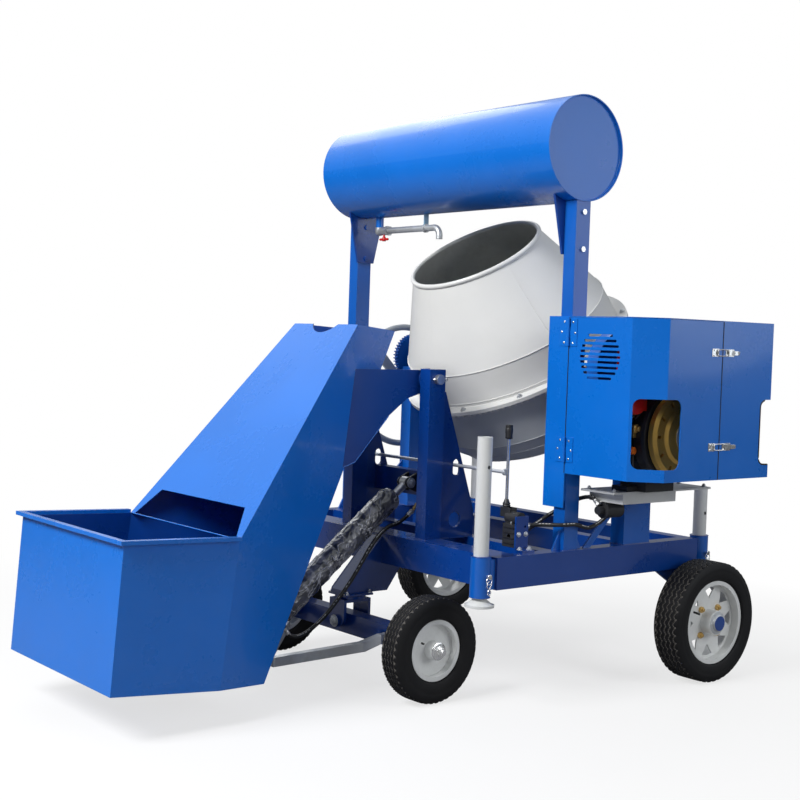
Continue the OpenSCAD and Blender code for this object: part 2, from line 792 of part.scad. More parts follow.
function mid(a, b, c, d, t) = 0.5 * ((2 * b) + (c - a) * t + (2 * a - 5 * b + 4 * c - d) * t * t
    + (3 * b - a - 3 * c + d) * t * t * t);
function smooth(p, k) = let (n = len(p) - 1) concat([for (i = [0:n - 1]) for (j = [0:k - 1])
    mid(p[max(0, i - 1)], p[i], p[i + 1], p[min(n, i + 2)], j / k)], [p[n]]);

module hose(path, r) {
    p = smooth(path, 3);
    n = len(p);
    m = 10;
    ring = function(i) let (t = unit(p[min(n - 1, i + 1)] - p[max(0, i - 1)]),
        s = unit(cross(t, [0.12, 0.05, 1])), w = cross(s, t))
        [for (j = [0:m - 1]) p[i] + r * (cos(j * 360 / m) * s + sin(j * 360 / m) * w)];
    polyhedron([for (i = [0:n - 1]) each ring(i)], concat([[for (j = [0:m - 1]) j]],
        [[for (j = [m - 1:-1:0]) (n - 1) * m + j]], [for (i = [0:n - 2]) for (j = [0:m - 1])
        [i * m + j, (i + 1) * m + j, (i + 1) * m + (j + 1) % m, i * m + (j + 1) % m]]));
}

module ram_hose() {
    color("black") placed() hose(hose_ram, 8);
}

module valve_hoses() {
    color("black") placed() {
        hose(hose_out, 8);
        hose(hose_back, 8);
    }
}

module valve_lever() {
    color("black") placed() difference() {
        union() {
            bar_x(870, 890, 560, lever_z, 11);
            bar_z(valve_x, 560, lever_z + 5, 1000, 6);
            bar_z(valve_x, 560, 990, 1042, 14);
        }
        bar_x(869, 891, 560, lever_z, 4 + run);
    }
}

module link_rod() {
    color("silver") placed() {
        bar_y(valve_x, -292, 545, rod_h, 7);
        bar_y(valve_x, 541, 551, rod_h, 13);
        bar_y(valve_x, -290, -280, rod_h, 12);
    }
}

module tap_handle() {
    z = tank_z - tank_r - 61;
    color("red") placed() {
        bar_z(tank_x, -516, z - 40, z - 9, 5);
        bar_z(tank_x, -516, z - 46, z - 28, 9);
        box([tank_x - 4, -548, z - 44], [tank_x + 4, -484, z - 31]);
    }
}

module engine_door() {
    s = cover_side;
    y = cover_y + 0.6;
    top = cover_top - 4;
    color("royalblue") placed() difference() {
        union() {
            translate([0, 0, cover_low]) linear_extrude(top - cover_low) polygon([[733, y], [733, s - 93],
                [634, s], [seam_x + 1, s], [seam_x + 1, s - 3], [632.8, s - 3], [730, s - 94.3], [730, y]]);
            for (h = hinge_spans) {
                box([cover_x, cover_y + 7.5, h[0]], [cover_x + 2.5, cover_y + 41, h[1]]);
                box([cover_x, cover_y + 1.5, h[0] + 31], [cover_x + 2.5, cover_y + 8, h[1] - 31]);
                bar_z(hinge[0], hinge[1], h[0] + 30.5, h[1] - 30.5, 5.5);
            }
        }
        translate([724.2, s - 84.8, 0]) rotate([0, 0, 136.8]) {
            box([0, -20, 942], [31, 20, 1139]);
            box([30, -20, 912], [118, 20, 1169]);
            for (z = [942, 1139]) bar_y(30, -20, 20, z, 30);
        }
        box([585, s - 20, 912], [650, s + 20, 1169]);
        box([555, s - 20, 942], [586, s + 20, 1139]);
        for (z = [942, 1139]) bar_y(585, s - 20, s + 20, z, 30);
        for (h = hinge_spans) bar_z(hinge[0], hinge[1], h[0] - 1, h[1] + 1, 2.4 + run);
        for (d = [-80:20:80]) box([725, 877 - sqrt(100 * 100 - d * d), 1316 + d - 4.5],
            [740, 877 + sqrt(100 * 100 - d * d), 1316 + d + 4.5]);
    }
}

module cover_latches() {
    s = cover_side;
    color("silver") placed() for (z = [991, 1346]) {
        box([356, s, z - 14], [390, s + 4, z + 14]);
        box([237, s + 3, z - 7], [380, s + 9, z + 7]);
    }
}

module steer_fork() {
    x = front_x;
    t = neck_z - 21;
    color("midnightblue") placed() {
        difference() {
            union() {
                bar_z(x, 0, t, t + 12, 62);
                box([x - 66, -50, t - 12], [x + 66, 50, t]);
                for (d = [x - 66, x + 54]) {
                    box([d, -50, axle_z + 45], [d + 12, 50, t - 12]);
                    bar_x(d, d + 12, 0, axle_z + 45, 50);
                }
                bar_z(x, 0, t, neck_z + 24, 16);
            }
            bar_x(x - 70, x + 70, 0, axle_z + 22, 14 + run);
        }
        difference() {
            bar_z(x, 0, neck_z + 9, neck_z + 21, 26);
            bar_z(x, 0, neck_z, neck_z + 30, 16 + run);
        }
        bar_x(x - 74, x + 74, 0, axle_z + 22, 14);
        bar_x(x + 66.5, x + 76, 0, axle_z + 22, 22);
    }
}

module front_axle() {
    x = front_x;
    color("midnightblue") placed() {
        difference() {
            union() {
                box([x - 34, 15 - front_in, axle_z - 28], [x + 34, front_in - 15, axle_z + 53]);
                bar_x(x - 53, x + 53, 0, axle_z + 22, 24);
                both() bar_y(x, front_in - 15, front_in + front_w + 8, axle_z, 15);
                both() bar_y(x, front_in + front_w + 6, front_in + front_w + 16, axle_z, 20);
                both() for (y = [290, 338]) box([x + 34, y, axle_z - 5], [x + 84, y + 12, axle_z + 37]);
            }
            box([x - 28, 21 - front_in, axle_z - 22], [x + 28, front_in - 21, axle_z - 12]);
            bar_x(x - 60, x + 60, 0, axle_z + 22, 14 + run);
            both() bar_y(x + 64, 280, 360, axle_z + 16, 8 + run);
        }
        both() bar_y(x + 64, 286, 354, axle_z + 16, 8);
    }
}

module drawbar() {
    x = front_x;
    z = axle_z;
    color("silver") placed() difference() {
        union() {
            both() bar_y(x + 64, 304, 336, z + 16, 16);
            both() box([x + 64, 306, z - 4], [x + 96, 332, z + 30]);
            both() hull() {
                translate([x + 90, 306, z - 4]) cube([6, 26, 34]);
                translate([x + 124, 240, z - 44]) cube([10, 30, 36]);
            }
            both() hull() {
                translate([x + 124, 240, z - 44]) cube([10, 30, 36]);
                translate([x + 372, 10, z - 118]) cube([12, 34, 36]);
            }
            box([x + 372, -44, z - 118], [x + 392, 44, z - 82]);
            box([x + 388, -22, z - 116], [x + 420, 22, z - 92]);
            bar_z(x + 420, 0, z - 116, z - 92, 34);
        }
        bar_z(x + 420, 0, z - 117, z - 91, 20);
        both() bar_y(x + 64, 300, 340, z + 16, 8 + run);
    }
}

module leg(x, y, top) {
    color("whitesmoke") placed() difference() {
        union() {
            bar_z(x, y, beam_z - 40, top, leg_r);
            translate([x, y, beam_z - 50]) cylinder(h = 18, r1 = 50, r2 = leg_r);
            bar_z(x, y, beam_z - 58, beam_z - 49, 55);
        }
        bar_z(x, y, beam_z - 40, top + 1, leg_r - 4);
        bar_y(x, y - 40, y + 40, top - 110, 7);
    }
}

module leg_front_near() {
    leg(frame_front + 60, leg_y, 1012);
}

module leg_front_far() {
    leg(frame_front + 60, -leg_y, 1012);
}

module leg_rear_near() {
    leg(-frame_rear - 40, leg_y, 780);
}

module leg_rear_far() {
    leg(-frame_rear - 40, -leg_y, 780);
}

module tyre(r, w, b) {
    m = (r + b) / 2 + 8;
    difference() {
        rotate_extrude() polygon([[b, 18], [b + 12.5, 18], [b + 16, 8], [m, 0], [r - 16, 4], [r, 16],
            [r, w - 16], [r - 16, w - 4], [m, w], [b + 16, w - 8], [b + 12.5, w - 18], [b, w - 18],
            [b, w - 30], [b + 20, w - 20], [m, w - 11], [r - 19, w - 22], [r - 19, 22], [m, 11],
            [b + 20, 20], [b, 30]]);
        for (z = [0.28, 0.5, 0.72]) rotate_extrude() translate([r - 6, w * z - 3]) square([8, 6]);
    }
}

module rim(b, w, hub, bore, hub_w, disc, holes) {
    difference() {
        rotate_extrude() union() {
            translate([b - 5, 12]) square([5, w - 24]);
            translate([b - 5, 12]) square([17, 5.5]);
            translate([b - 5, w - 17.5]) square([17, 5.5]);
            translate([hub - 1, disc]) square([b - hub - 2, 6]);
            translate([bore, 1]) square([hub - bore, hub_w]);
        }
        for (i = [0:holes - 1]) rotate([0, 0, i * 360 / holes]) translate([0, 0, disc - 1])
            linear_extrude(8) polygon([[b * 0.6, 0], [b * 0.86, b * 0.2], [b * 0.9, 0], [b * 0.86, -b * 0.2]]);
    }
}

module at_wheel(x, y, r, s) {
    mirror([0, (1 - s) / 2, 0]) translate([x, y, r]) rotate([-90, 0, 0]) children();
}

module rear_tyre(s) {
    color("black") placed() at_wheel(0, rear_in, rear_r, s) tyre(rear_r, rear_w, rear_r - 88);
}

module rear_rim(s) {
    color("darkgray") placed() at_wheel(0, rear_in, rear_r, s) {
        rim(rear_r - 88, rear_w, 50, 22 + run, rear_w, rear_w - 52, 8);
        for (i = [0:3]) rotate([0, 0, 45 + i * 90]) translate([74, 0, rear_w - 46])
            cylinder(h = 12, r = 10, $fn = 6);
    }
}

module front_tyre(s) {
    color("black") placed() at_wheel(front_x, front_in, front_r, s) tyre(front_r, front_w, front_r - 96);
}

module front_rim(s) {
    color("lightsteelblue") placed() at_wheel(front_x, front_in, front_r, s)
        rim(front_r - 96, front_w, 34, 15 + run, front_w, front_w - 46, 0);
}

module rear_tyre_near() {
    rear_tyre(1);
}

module rear_tyre_far() {
    rear_tyre(-1);
}

module rear_rim_near() {
    rear_rim(1);
}

module rear_rim_far() {
    rear_rim(-1);
}

module front_tyre_near() {
    front_tyre(1);
}

module front_tyre_far() {
    front_tyre(-1);
}

module front_rim_near() {
    front_rim(1);
}

module front_rim_far() {
    front_rim(-1);
}

chassis_frame();
neck();
leg_sleeves();
rear_axle();
pivot_posts();
pivot_pins();
ram_lug();
tank_posts();
tank_saddles();
water_tank();
water_outlet();
drum_columns();
column_bearings();
engine_plate();
engine_block();
fuel_tank();
drive_belt();
cover_fixed();
cover_hinges();
valve_block();
hydraulic_pump();
oil_tank();
valve_hoses();
yoke();
tilt_gear();
drum_upper();
drum_lower();
ring_gear();
mixing_blades();
pinion_shaft();
flywheel();
crank_pulley();
handwheel();
hopper_shell();
hopper_rim();
hopper_arms();
ram_rod();
ram_barrel();
ram_wrap();
ram_hose();
valve_lever();
link_rod();
tap_handle();
engine_door();
cover_latches();
steer_fork();
front_axle();
drawbar();
leg_front_near();
leg_front_far();
leg_rear_near();
leg_rear_far();
rear_tyre_near();
rear_rim_near();
rear_tyre_far();
rear_rim_far();
front_tyre_near();
front_rim_near();
front_tyre_far();
front_rim_far();
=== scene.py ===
import bpy
import math
from mathutils import Matrix, Vector, noise

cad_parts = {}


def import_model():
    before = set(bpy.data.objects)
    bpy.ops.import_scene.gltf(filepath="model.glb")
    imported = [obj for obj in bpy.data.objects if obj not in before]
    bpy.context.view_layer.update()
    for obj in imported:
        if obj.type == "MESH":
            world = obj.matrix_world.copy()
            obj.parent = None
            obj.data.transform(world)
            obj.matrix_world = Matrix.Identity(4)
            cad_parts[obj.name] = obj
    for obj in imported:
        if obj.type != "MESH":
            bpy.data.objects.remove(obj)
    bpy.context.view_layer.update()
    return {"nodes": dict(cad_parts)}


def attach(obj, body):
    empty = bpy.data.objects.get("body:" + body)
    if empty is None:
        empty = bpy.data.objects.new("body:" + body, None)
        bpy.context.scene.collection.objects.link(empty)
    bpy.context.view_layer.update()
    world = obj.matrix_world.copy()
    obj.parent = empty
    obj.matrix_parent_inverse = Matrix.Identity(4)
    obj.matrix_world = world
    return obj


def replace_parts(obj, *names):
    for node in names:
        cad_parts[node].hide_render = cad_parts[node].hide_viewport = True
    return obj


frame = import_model()
nodes = frame["nodes"]

# Where the rear axle's middle stands in the row frame, in metres.
MX, MY = 1.104, 0.1095
# Shared sizes and places, in millimetres from the rear axle's middle: x forward, y to the near side, z up.
REAR_R, FRONT_R = 246, 200          # wheel radii
FRONT_X = 1196                      # front axle
BEAM_TOP, BEAM_LOW = 567, 447       # upper and lower face of the long beams
SLEEVE_XS, SLEEVE_Y = (1135, -105), 705
TANK_X, TANK_Z = 683, 2107          # middle of the water tank
DRUM_X, DRUM_Z = 300, 1272          # where the drum's axis crosses the tilt axis
CRANK_X, CRANK_Z = 420, 1025        # engine crankshaft
LEVER_X, LEVER_Y = 880, 560         # hand lever of the valve
TAP_Y = -516
DOOR_X, DOOR_Y = 735.5, 1125        # outer faces of the cover, forward and near
WINDOW_X, WINDOW_Y = 52, 1124       # middle of the rounded corners of the rear notch, and its plane
LEAN = math.radians(32.0)           # lean of the drum's axis toward the front
UP = Vector((0, 0, 1))
SIDES = (("near", 1), ("far", -1))


def W(x, y, z):
    """A point of the row frame, given in millimetres from the rear axle's middle on the ground."""
    return Vector((x / 1000.0 - MX, y / 1000.0 - MY, z / 1000.0))


def mm(p):
    """A point of the row frame back in millimetres from the rear axle's middle."""
    return (p.x + MX) * 1000.0, (p.y + MY) * 1000.0, p.z * 1000.0


# ---------------------------------------------------------------- materials
class Graph:
    """Short names for building one material's node tree."""

    def __init__(self, name):
        self.mat = bpy.data.materials.new(name)
        self.mat.use_nodes = True
        self.tree = self.mat.node_tree
        self.tree.nodes.clear()
        self.out = self.add("ShaderNodeOutputMaterial")
        self.bsdf = self.add("ShaderNodeBsdfPrincipled")
        self.join(self.bsdf.outputs["BSDF"], self.out.inputs["Surface"])
        self.coord = self.add("ShaderNodeTexCoord").outputs["Object"]

    def add(self, kind, **props):
        node = self.tree.nodes.new(kind)
        for key, value in props.items():
            setattr(node, key, value)
        return node

    def join(self, a, b):
        self.tree.links.new(a, b)

    def math(self, op, a, b=0.0, c=None, clamp=False):
        node = self.add("ShaderNodeMath", operation=op, use_clamp=clamp)
        for i, v in enumerate([a, b] + ([] if c is None else [c])):
            if isinstance(v, (int, float)):
                node.inputs[i].default_value = v
            else:
                self.join(v, node.inputs[i])
        return node.outputs[0]

    def noise(self, scale, detail=4.0, rough=0.55, stretch=None, distortion=0.0):
        node = self.add("ShaderNodeTexNoise")
        node.inputs["Scale"].default_value = scale
        node.inputs["Detail"].default_value = detail
        node.inputs["Roughness"].default_value = rough
        node.inputs["Distortion"].default_value = distortion
        src = self.coord
        if stretch:
            m = self.add("ShaderNodeMapping")
            m.inputs["Scale"].default_value = stretch
            self.join(src, m.inputs["Vector"])
            src = m.outputs["Vector"]
        self.join(src, node.inputs["Vector"])
        return node.outputs["Fac"]

    def ramp(self, fac, low, high, out_low=0.0, out_high=1.0):
        node = self.add("ShaderNodeMapRange")
        node.inputs["From Min"].default_value = low
        node.inputs["From Max"].default_value = high
        node.inputs["To Min"].default_value = out_low
        node.inputs["To Max"].default_value = out_high
        self.join(fac, node.inputs["Value"])
        return node.outputs["Result"]

    def mix(self, fac, a, b):
        node = self.add("ShaderNodeMix", data_type="RGBA")
        if isinstance(fac, (int, float)):
            node.inputs[0].default_value = fac
        else:
            self.join(fac, node.inputs[0])
        for i, v in ((6, a), (7, b)):
            if isinstance(v, tuple):
                node.inputs[i].default_value = (*v, 1.0)
            else:
                self.join(v, node.inputs[i])
        return node.outputs[2]

    def bump(self, height, strength, distance, normal=None):
        node = self.add("ShaderNodeBump")
        node.inputs["Strength"].default_value = strength
        node.inputs["Distance"].default_value = distance
        self.join(height, node.inputs["Height"])
        if normal is not None:
            self.join(normal, node.inputs["Normal"])
        return node.outputs["Normal"]

    def edge(self, radius):
        """Rounded normal, and how far it leans from the flat one: 1 on sharp edges."""
        bevel = self.add("ShaderNodeBevel", samples=4)
        bevel.inputs["Radius"].default_value = radius
        geo = self.add("ShaderNodeNewGeometry")
        dot = self.add("ShaderNodeVectorMath", operation="DOT_PRODUCT")
        self.join(bevel.outputs["Normal"], dot.inputs[0])
        self.join(geo.outputs["Normal"], dot.inputs[1])
        return bevel.outputs["Normal"], self.ramp(dot.outputs["Value"], 0.99, 0.86)

    def axis(self, name):
        node = self.add("ShaderNodeSeparateXYZ")
        self.join(self.coord, node.inputs["Vector"])
        return node.outputs[name]


EDGE_RADIUS = 0.0018    # of the rounded edges that only the shading shows, in metres


def shade(name, color, rough=0.4, metallic=0.0, coat=0.0, wear=0.0, wear_color=(0.32, 0.33, 0.34),
          dirt=0.25, dirt_color=(0.30, 0.26, 0.21), grain=220.0, grain_height=0.12, wave=0.0,
          tone=0.10, spec=0.5, brushed=None, low_dirt=0.35):
    """A painted, metal, rubber or plastic surface.

    It has tone patches, worn edges, dust that gathers low down, mottled gloss and fine bump.
    """
    g = Graph(name)
    b = g.bsdf
    b.inputs["Metallic"].default_value = metallic
    b.inputs["Specular IOR Level"].default_value = spec
    if coat:
        b.inputs["Coat Weight"].default_value = coat
        b.inputs["Coat Roughness"].default_value = 0.08
    patches = g.noise(2.3, 5.0)
    spots = g.noise(19.0, 6.0, 0.65)
    dark = tuple(c * (1.0 - tone) for c in color)
    light = tuple(min(1.0, c * (1.0 + tone)) for c in color)
    col = g.mix(g.ramp(patches, 0.35, 0.65), dark, light)
    normal, rim = g.edge(EDGE_RADIUS)
    if dirt:
        film = g.math("MULTIPLY", g.ramp(spots, 0.48, 0.74), g.ramp(patches, 0.42, 0.62))
        foot = g.math("MULTIPLY", g.ramp(g.axis("Z"), 0.75, 0.05), g.ramp(spots, 0.36, 0.66))
        film = g.math("ADD", g.math("MULTIPLY", film, dirt), g.math("MULTIPLY", foot, low_dirt * dirt * 2.0),
                      clamp=True)
        col = g.mix(film, col, dirt_color)
    if wear:
        chips = g.math("MULTIPLY", rim, g.ramp(g.noise(60.0, 5.0, 0.7), 0.60 - 0.22 * wear, 0.66))
        col = g.mix(chips, col, wear_color)
    g.join(col, b.inputs["Base Color"])
    gloss = g.ramp(g.math("ADD", patches, g.math("MULTIPLY", spots, 0.3)), 0.4, 0.9,
                   max(0.02, rough - 0.06), min(1.0, rough + 0.12))
    if dirt:
        gloss = g.math("ADD", gloss, g.math("MULTIPLY", film, 0.35), clamp=True)
    g.join(gloss, b.inputs["Roughness"])
    fine = g.noise(grain, 3.0, 0.5, stretch=brushed)
    normal = g.bump(fine, grain_height, 0.0006, normal)
    if wave:
        normal = g.bump(g.noise(5.5, 2.0, 0.4), wave, 0.004, normal)
    g.join(normal, b.inputs["Normal"])
    return g.mat


BLUE = (0.0012, 0.150, 0.62)
MATS = {
    "blue": shade("blue_paint_coat", BLUE, 0.25, coat=0.35, wear=0.22, wear_color=(0.08, 0.24, 0.55),
                  wave=0.08, grain_height=0.05, dirt=0.025, tone=0.04, dirt_color=(0.14, 0.26, 0.42)),
    # The next three are darker copies of the one blue paint, for parts that sit lower or more in shade:
    # painted shade.
    "blue_mid_shade": shade("blue_coat_painted_mid_shade", (0.001, 0.105, 0.48), 0.28, coat=0.45, wear=0.30,
                      wear_color=(0.08, 0.20, 0.42), wave=0.06, grain_height=0.05, dirt=0.02, tone=0.05,
                      dirt_color=(0.14, 0.22, 0.34)),
    "blue_deep_shade": shade("blue_coat_painted_deep_shade", (0.0007, 0.046, 0.27), 0.28, coat=0.50, wear=0.35,
                       wear_color=(0.07, 0.15, 0.32), wave=0.06, grain_height=0.06, dirt=0.025, tone=0.06,
                       dirt_color=(0.10, 0.15, 0.25)),
    "navy_shade": shade("blue_coat_painted_navy_shade", (0.001, 0.050, 0.28), 0.34, coat=0.25, wear=0.45, wave=0.05,
                  wear_color=(0.10, 0.14, 0.22), dirt=0.12, dirt_color=(0.12, 0.13, 0.15)),
    "white": shade("drum_white_coat", (0.74, 0.74, 0.72), 0.34, coat=0.15, wear=0.25,
                   wear_color=(0.50, 0.49, 0.46), wave=0.06, dirt=0.07, tone=0.03,
                   dirt_color=(0.55, 0.53, 0.48)),
    # A darker grey for the drum's inside faces.
    "inside": shade("drum_inside_darker_grey", (0.50, 0.51, 0.49), 0.55, wear=0.3, wave=0.10, dirt=0.25,
                    dirt_color=(0.20, 0.19, 0.17), tone=0.14),
    "lower": shade("drum_grey_coat", (0.60, 0.63, 0.65), 0.36, coat=0.15, wear=0.35, wave=0.08, dirt=0.12,
                   tone=0.05),
    "grey": shade("grey_coat", (0.42, 0.46, 0.50), 0.38, coat=0.1, wear=0.4, dirt=0.12),
    "leg": shade("leg_white_coat", (0.66, 0.67, 0.66), 0.34, coat=0.1, wear=0.5,
                 wear_color=(0.36, 0.36, 0.34), dirt=0.14, dirt_color=(0.42, 0.40, 0.35), tone=0.04),
    "galv": shade("galvanised_zinc", (0.58, 0.60, 0.62), 0.42, metallic=0.7, tone=0.26, wear=0.0,
                  dirt=0.20, grain=90.0, grain_height=0.22),
    "steel": shade("turned_steel", (0.56, 0.56, 0.55), 0.30, metallic=0.9, wear=0.2, dirt=0.12,
                   brushed=(1.0, 14.0, 14.0), grain_height=0.25),
    "chrome": shade("bright_steel", (0.80, 0.80, 0.79), 0.16, metallic=0.95, dirt=0.05),
    "dark": shade("engine_casting", (0.022, 0.023, 0.026), 0.45, metallic=0.2, wear=0.5, dirt=0.25,
                  wear_color=(0.14, 0.14, 0.14), dirt_color=(0.09, 0.085, 0.075), grain=120.0,
                  grain_height=0.45),
    "gold": shade("gold_coat", (0.66, 0.40, 0.08), 0.30, metallic=0.45, wear=0.4, dirt=0.12),
    "red": shade("red_coat", (0.62, 0.010, 0.008), 0.28, coat=0.4, wear=0.25, dirt=0.06),
    "rubber": shade("black_rubber", (0.011, 0.011, 0.012), 0.42, dirt=0.14,
                    dirt_color=(0.06, 0.058, 0.053), grain=160.0, grain_height=0.3, tone=0.2),
    "tread": shade("tread_groove_dust", (0.150, 0.140, 0.128), 0.75, dirt=0.4,
                   dirt_color=(0.05, 0.047, 0.042), grain=320.0, grain_height=0.4, tone=0.2),
    "tyre": shade("tyre_rubber", (0.006, 0.006, 0.007), 0.55, spec=0.22, dirt=0.10,
                  dirt_color=(0.03, 0.029, 0.026), grain=320.0, grain_height=0.4, tone=0.25,
                  low_dirt=0.5),
    "rim": shade("rim_white_coat", (0.80, 0.81, 0.795), 0.30, coat=0.2, wear=0.4,
                 wear_color=(0.36, 0.35, 0.32), dirt=0.12, dirt_color=(0.40, 0.38, 0.34)),
    "brass": shade("brass_fitting", (0.70, 0.47, 0.17), 0.30, metallic=0.85, dirt=0.12),
    "orange": shade("orange_lead", (0.80, 0.16, 0.01), 0.38, dirt=0.08),
    "pale": shade("pale_strap_coat", (0.25, 0.44, 0.62), 0.36, wear=0.3, dirt=0.10),
    "mark": shade("hose_print", (0.62, 0.62, 0.60), 0.55, dirt=0.25, grain_height=0.2),
}
USE = {
    # The darker blue copies give the lower and shaded parts painted shade.
    "navy_shade": ["oil_tank", "rear_axle"],
    "blue_deep_shade": ["chassis_frame", "neck", "pivot_posts", "tank_saddles", "hopper_arms",
                  "steer_fork", "front_axle"],
    "blue_mid_shade": ["leg_sleeves", "tank_posts", "drum_columns", "yoke", "tilt_gear"],
    "blue": ["hopper_shell", "hopper_rim", "water_tank", "cover_fixed", "engine_door", "cover_hinges"],
    "steel": ["pivot_pins", "pinion_shaft", "crank_pulley", "ram_rod"],
    "dark": ["ram_lug", "column_bearings", "engine_block", "hydraulic_pump", "ram_barrel", "valve_block"],
    "galv": ["water_outlet", "link_rod", "drawbar"],
    "white": ["drum_upper", "ring_gear"],
    "lower": ["drum_lower", "mixing_blades"],
    "grey": ["handwheel"],
    "leg": ["leg_front_near", "leg_front_far", "leg_rear_near", "leg_rear_far", "engine_plate"],
    "red": ["fuel_tank", "tap_handle"],
    "gold": ["flywheel"],
    "chrome": ["cover_latches", "valve_lever"],
    "rubber": ["drive_belt", "valve_hoses", "ram_hose"],
    "rim": ["rear_rim_near", "rear_rim_far", "front_rim_near", "front_rim_far"],
    "tyre": ["rear_tyre_near", "rear_tyre_far", "front_tyre_near", "front_tyre_far"],
    "film": ["ram_wrap"],
}


def film_material():
    """Thin clear wrapping: dark folds, milky creases and a wet-looking gloss; the milky folds and pale
    crease lines are partly the film's own whiteness and partly painted highlight.
    """
    g = Graph("crinkled_film")
    g.bsdf.inputs["Specular IOR Level"].default_value = 0.7
    g.bsdf.inputs["Coat Weight"].default_value = 0.6
    g.bsdf.inputs["Coat Roughness"].default_value = 0.10
    folds = g.noise(17.0, 5.0, 0.55, distortion=1.2)
    broad = g.noise(11.0, 3.0)
    lines = g.math("ABSOLUTE", g.math("SUBTRACT", g.noise(10.0, 3.0, 0.5, distortion=0.9), 0.5))
    dark = g.mix(g.ramp(broad, 0.40, 0.60), (0.030, 0.031, 0.038), (0.105, 0.107, 0.120))
    # Milky folds and pale crease lines: partly the film's own whiteness, partly painted highlight.
    milky_and_highlight = g.mix(g.ramp(folds, 0.46, 0.68), dark, (0.27, 0.27, 0.30))
    g.join(g.mix(g.ramp(lines, 0.020, 0.002), milky_and_highlight, (0.60, 0.60, 0.64)), g.bsdf.inputs["Base Color"])
    g.join(g.ramp(folds, 0.3, 0.7, 0.14, 0.34), g.bsdf.inputs["Roughness"])
    g.join(g.bump(g.ramp(lines, 0.03, 0.0), 0.6, 0.003, g.bump(folds, 0.6, 0.006)),
           g.bsdf.inputs["Normal"])
    return g.mat


MATS["film"] = film_material()
for key, members in USE.items():
    for n in members:
        nodes[n].data.materials.clear()
        nodes[n].data.materials.append(MATS[key])


def paint_faces(node, key, test):
    """Gives the faces of a CAD node that pass the test another material."""
    me = nodes[node].data
    me.materials.append(MATS[key])
    for p in me.polygons:
        if test(p.center, p.normal):
            p.material_index = len(me.materials) - 1


AXIS = Vector((math.sin(LEAN), 0.0, math.cos(LEAN)))
TILT = W(DRUM_X, 0, DRUM_Z)


def inside_drum(c, n):
    """Faces of the drum that look at its axis, between the spindle and the outer skin."""
    arm = c - TILT
    arm -= AXIS * arm.dot(AXIS)
    return 0.05 < arm.length < 0.466 and n.dot(arm.normalized()) < -0.2


def inside_hopper(c, n):
    """Faces of the shell that look at the middle of the bucket or of the chute; these get painted shade."""
    spine = [W(1950, 0, 400), W(1640, 0, 470), W(1420, 0, 760), W(1120, 0, 1180)]
    best = None
    for a, b in zip(spine, spine[1:]):
        t = max(0.0, min(1.0, (c - a).dot(b - a) / (b - a).length_squared))
        p = a.lerp(b, t)
        if best is None or (p - c).length < (best - c).length:
            best = p
    return n.dot(best - c) > 0.02


def valve_bracket(c, n):
    """The blue bracket below and outside the valve's body."""
    return mm(c)[1] > 643.5 and c.z < 0.701 and not (mm(c)[1] < 644.5 and c.z > 0.668)


# The hopper's inside wears the darker blue copy of the paint: painted shade.
paint_faces("hopper_shell", "blue_deep_shade", inside_hopper)
# Faces that look at the drum's axis are a darker grey than its outside.
paint_faces("drum_upper", "inside", inside_drum)
paint_faces("drum_lower", "inside", inside_drum)
paint_faces("valve_lever", "rubber", lambda c, n: c.z > 0.989 or c.z < 0.727)
# The valve's bracket wears the darker blue copy of the paint: painted shade.
paint_faces("valve_block", "blue_deep_shade", valve_bracket)
paint_faces("water_outlet", "pale", lambda c, n: abs(mm(c)[1] + 221.5) < 3 and c.z > 1.856)
paint_faces("engine_block", "galv", lambda c, n: c.z > 1.0995 and mm(c)[0] > 534)
paint_faces("pinion_shaft", "dark", lambda c, n: mm(c)[1] > 744)
paint_faces("tank_saddles", "chrome", lambda c, n: abs(mm(c)[1]) > 718.2)
paint_faces("front_axle", "chrome", lambda c, n: abs(mm(c)[1]) > 556)


# ---------------------------------------------------------------- modelling helpers
def mesh_piece(name, verts, faces, body, mat, smooth=False):
    """Makes one visual piece that rides on a body and wears one material."""
    me = bpy.data.meshes.new(name)
    me.from_pydata([tuple(v) for v in verts], [], faces)
    me.update()
    obj = bpy.data.objects.new(name, me)
    bpy.context.scene.collection.objects.link(obj)
    me.materials.append(MATS[mat])
    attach(obj, body)
    if smooth:
        for p in me.polygons:
            p.use_smooth = True
    return obj


# The six faces of a box whose corners run z fastest, then y, then x.
BOX_FACES = ((0, 1, 3, 2), (4, 6, 7, 5), (0, 4, 5, 1), (2, 3, 7, 6), (0, 2, 6, 4), (1, 5, 7, 3))


def basis(direction):
    """Two directions square to the given one, and that one."""
    z = Vector(direction).normalized()
    x = z.orthogonal().normalized()
    return x, z.cross(x), z


